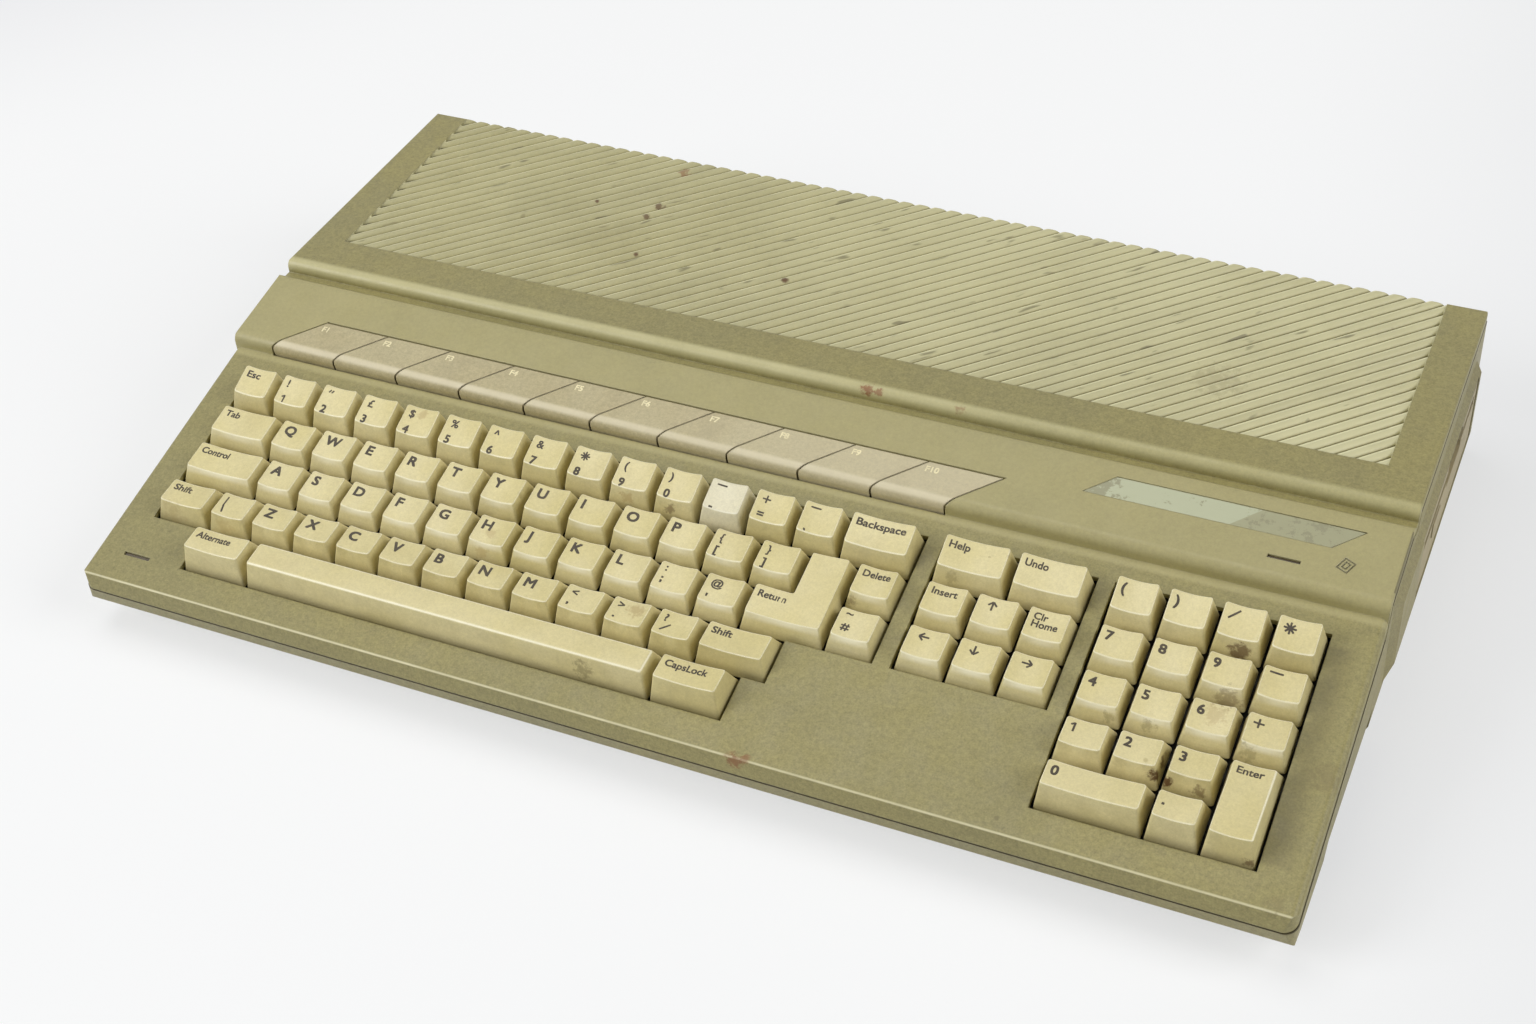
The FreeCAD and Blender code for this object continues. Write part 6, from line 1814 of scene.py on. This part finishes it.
    def dress(self, piece: bpy.types.Object, finish: Finish, node: str,
              slot: str = "key_plastic") -> None:
        """Gives a piece its material and the body that it rides on.

        Args:
            piece: the piece.
            finish: its finish.
            node: the CAD node whose body it rides on.
            slot: not used.
        """
        piece.data.materials.clear()
        piece.data.materials.append(self.finishes.of(finish))
        for polygon in piece.data.polygons:
            polygon.material_index = 0
        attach(piece, node + "_body")

    def build_node(self, node: str, keys: Sequence[Key]) -> None:
        """Builds the caps and legends that stand for one CAD node.

        Args:
            node: the node's name.
            keys: its keys.
        """
        caps, paler, words = [], [], []
        for key in keys:
            form = self.form(key)
            cap = self.copied(self.master(form))
            self.place(cap, key.start, key.row)
            (paler if key.paler else caps).append(cap)
            for legend in key.legends:
                text = self.lettering(form, legend)
                self.place(text, key.start, key.row)
                words.append(text)
        piece = self.joined(caps, node + "_caps")
        self.dress(piece, KEY_CREAM, node)
        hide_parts(node)
        if paler:
            self.dress(self.joined(paler, node + "_paler_cap"), KEY_WHITER, node)
        if words:
            self.dress(self.joined(words, node + "_legends"), KEY_INK, node)

    def build_return(self) -> None:
        """Builds the stepped Return key."""
        form = CapForm(
            self.return_size[0], self.return_size[1], self.rear_heights[1], self.front_heights[2],
            self.rear_insets[1], step=self.return_step * KEY_PITCH,
        )
        cap = form.build("return_key_cap")
        self.place(cap, *self.return_place)
        self.dress(cap, KEY_CREAM, "return_key")
        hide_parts("return_key")
        text = self.lettering(form, RETURN_LEGEND)
        text.name = "return_key_legend"
        self.place(text, *self.return_place)
        self.dress(text, KEY_INK, "return_key")

    def build_function_legend(self, index: int) -> None:
        """Letters one function key at the rear of its sloping top.

        Args:
            index: the key's number less one.
        """
        text = self.words(f"F{index + 1}", self.function_capital, self.function_bold)
        node = f"f{index + 1}_key"
        x = self.function_legend[0] + index * self.function_pitch
        y = self.function_legend[1]
        z = TIER_BACK[1] - (TIER_BACK[0] - y) * math.tan(TIER_SLOPE)
        settle(text, Matrix.Translation((x, y, z)) @ Matrix.Rotation(TIER_SLOPE, 4, "X"))
        text.name = node + "_legend"
        self.dress(text, PALE_INK, node, "function_key_plastic")

    def build(self) -> None:
        """Builds every key."""
        for node, keys in KEY_NODES.items():
            self.build_node(node, keys)
            LOG.info("%s: %d caps", node, len(keys))
        self.build_return()
        for master in self.forms.values():
            bpy.data.objects.remove(master)
        for index in range(self.function_keys):
            self.build_function_legend(index)
        LOG.info("function key legends")


NODE_FINISHES = (
    (UPPER_CASE, "top_cover"),
    (LOWER_CASE, "bottom_case"),
    (DRIVE_FRONT, "drive_bezel drive_flap eject_button"),
    (BADGE, "badge_plate"),
    (LAMP_LENS, "indicator_lenses"),
    (FOOT_RUBBER, "rubber_feet"),
    (SCREW, "case_screws"),
    (PLATE_BLACK, "key_plate"),
    (BOARD, "keyboard_circuit_board mainboard power_supply_board drive_motor_board"),
    (CHIP_BLACK, "mainboard_chips"),
    (STEEL, "shield_base shield_lid power_supply_cage d_sub_ports joystick_ports tv_modulator "
            "drive_chassis drive_lid spindle_hub head_carriage lead_screw"),
    (BLACK_SOCKET, "mains_inlet rear_switch_bodies power_switch_rocker reset_button din_ports "
                   "cartridge_connector"),
    (RIBBON, "ribbon_cables"),
    (FUNCTION_KEY, "f1_key f2_key f3_key f4_key f5_key f6_key f7_key f8_key f9_key f10_key"),
)


@dataclass
class CaseWork:
    """Everything that keeps its CAD shape and gets its finish here."""

    finishes: Finishes
    nodes: dict[str, bpy.types.Object]

    def dress(self, name: str, finish: Finish) -> None:
        """Gives every slot of one node its finish.

        Args:
            name: the node.
            finish: its finish.
        """
        mesh = self.nodes[name].data
        material = self.finishes.of(finish)
        if not mesh.materials:
            mesh.materials.append(material)
        for index in range(len(mesh.materials)):
            mesh.materials[index] = material
        LOG.info("%s: %s", name, finish.name)

    def build(self) -> None:
        """Dresses every node that is shown as its CAD shape."""
        for finish, names in NODE_FINISHES:
            for name in names.split():
                self.dress(name, finish)


@dataclass(frozen=True)
class Lamp:
    """A square soft box: its name, place, side, power in watts and tint."""

    name: str
    place: Place
    size: float
    power: float
    colour: Colour


LAMPS = (
    Lamp("overhead_light", (-0.94, 0.26, 3.3), 2.2, 40.0, (1.0, 0.99, 0.97)),
    Lamp("left_light", (-2.55, -2.2, 2.04), 2.0, 98.0, (1.0, 0.99, 0.97)),
    Lamp("right_light", (3.23, 0.17, 2.04), 2.4, 84.0, (1.0, 0.99, 0.975)),
)


@dataclass
class Studio:
    """Pale floor, soft lamps and the camera."""

    aim: Place = (0.0, 0.0, 0.04)
    sensor: float = 36.0
    clip: tuple[float, float] = (0.02, 50.0)
    background: float = 0.93
    world_colour: Colour = (0.97, 0.985, 1.0)
    far_shade_share: float = 0.8
    shade_share: float = 0.45
    mottle: float = 0.97
    floor_half: float = 6.0
    floor_colour: Colour = paint(252, 253, 254)
    far_shade_colour: Colour = paint(200, 200, 210)
    shade_colour: Colour = paint(178, 181, 186)
    camera_place: Place = (0.30023, -0.61578, 0.60067)
    camera_right: Place = (0.9124, 0.4050, -0.0599)
    camera_back: Place = (0.3432, -0.6772, 0.6509)
    lens: float = 53.05
    surround: float = 0.05
    glow: float = 0.62

    def floor(self) -> None:
        """Lays the floor, with a faint mottle so that it isn't dead flat, and painted shade to the
        far left and to the right.
        """
        clear_choice()
        bpy.ops.mesh.primitive_plane_add(size=2 * self.floor_half, location=(0, 0, 0))
        floor = bpy.context.object
        floor.name = "studio_floor"
        material = bpy.data.materials.new("studio_floor")
        material.use_nodes = True
        graph = Graph(material.node_tree)
        place = graph.place()
        cloud = graph.cloud(place, Cloud.FLOOR)
        darker = tuple(self.mottle * value for value in self.floor_colour)
        colour = graph.mix(cloud, self.floor_colour, darker)
        # Painted shade: the floor darkens to the far left, and to the right where the object's
        # shadow falls.
        far = graph.step(graph.along(place, (-0.8, 0.6, 0.0)), 0.45, 1.1)
        colour = graph.mix(graph.times(far, self.far_shade_share), colour, self.far_shade_colour)
        shade = graph.step(graph.along(place, (1.0, 0.12, 0.0)), 0.1, 0.62)
        colour = graph.mix(graph.times(shade, self.shade_share), colour, self.shade_colour)
        matt = graph.add("ShaderNodeBsdfDiffuse", {"Color": colour})
        path = graph.add("ShaderNodeLightPath")
        glow = graph.add("ShaderNodeEmission", {"Color": colour, "Strength": 1.0})
        share = graph.times(path.outputs["Is Camera Ray"], self.glow)
        inputs = {0: share, 1: matt.outputs[0], 2: glow.outputs[0]}
        shader = graph.add("ShaderNodeMixShader", inputs)
        graph.add("ShaderNodeOutputMaterial", {"Surface": shader.outputs[0]})
        floor.data.materials.append(material)

    def world(self) -> None:
        """Even light from all round; straight on, it looks white."""
        world = bpy.data.worlds.new("studio")
        bpy.context.scene.world = world
        world.use_nodes = True
        graph = Graph(world.node_tree)
        path = graph.add("ShaderNodeLightPath")
        seen = graph.sum("MAXIMUM", path.outputs["Is Camera Ray"], path.outputs["Is Glossy Ray"])
        seen = graph.sum("MAXIMUM", seen, path.outputs["Is Transmission Ray"])
        strength = graph.scale_add(seen, self.background - self.surround, self.surround)
        inputs = {"Color": self.world_colour, "Strength": strength}
        shine = graph.add("ShaderNodeBackground", inputs)
        graph.add("ShaderNodeOutputWorld", {"Surface": shine.outputs[0]})

    def lamp(self, lamp: Lamp) -> None:
        """Hangs one square soft box that faces the object.

        Args:
            lamp: its name, place, side, power and tint.
        """
        data = bpy.data.lights.new(lamp.name, "AREA")
        data.shape, data.size = "SQUARE", lamp.size
        data.energy, data.color = lamp.power, lamp.colour
        box = bpy.data.objects.new(lamp.name, data)
        box.location = lamp.place
        aim = Vector(self.aim) - Vector(lamp.place)
        box.rotation_mode = "QUATERNION"
        box.rotation_quaternion = aim.to_track_quat("-Z", "Y")
        bpy.context.scene.collection.objects.link(box)

    def camera(self) -> None:
        """Sets the camera at the viewing angle of the picture."""
        data = bpy.data.cameras.new("camera")
        data.lens, data.sensor_width = self.lens, self.sensor
        data.clip_start, data.clip_end = self.clip
        camera = bpy.data.objects.new("camera", data)
        right = Vector(self.camera_right).normalized()
        back = Vector(self.camera_back).normalized()
        up = back.cross(right).normalized()
        right = up.cross(back).normalized()
        turn = Matrix((right, up, back)).transposed().to_4x4()
        camera.matrix_world = Matrix.Translation(self.camera_place) @ turn
        bpy.context.scene.collection.objects.link(camera)
        bpy.context.scene.camera = camera

    def build(self) -> None:
        """Sets up the whole studio."""
        self.floor()
        self.world()
        for lamp in LAMPS:
            self.lamp(lamp)
        self.camera()
        bpy.context.scene.view_settings.view_transform = "Standard"


def main() -> None:
    """Dresses the machine."""
    logging.basicConfig(level=logging.INFO, format="%(message)s")
    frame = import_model()
    Studio().build()
    finishes = Finishes(Effects())
    CaseWork(finishes, frame["nodes"]).build()
    Keyboard(finishes).build()
    clear_choice()


if __name__ == "__main__":
    main()
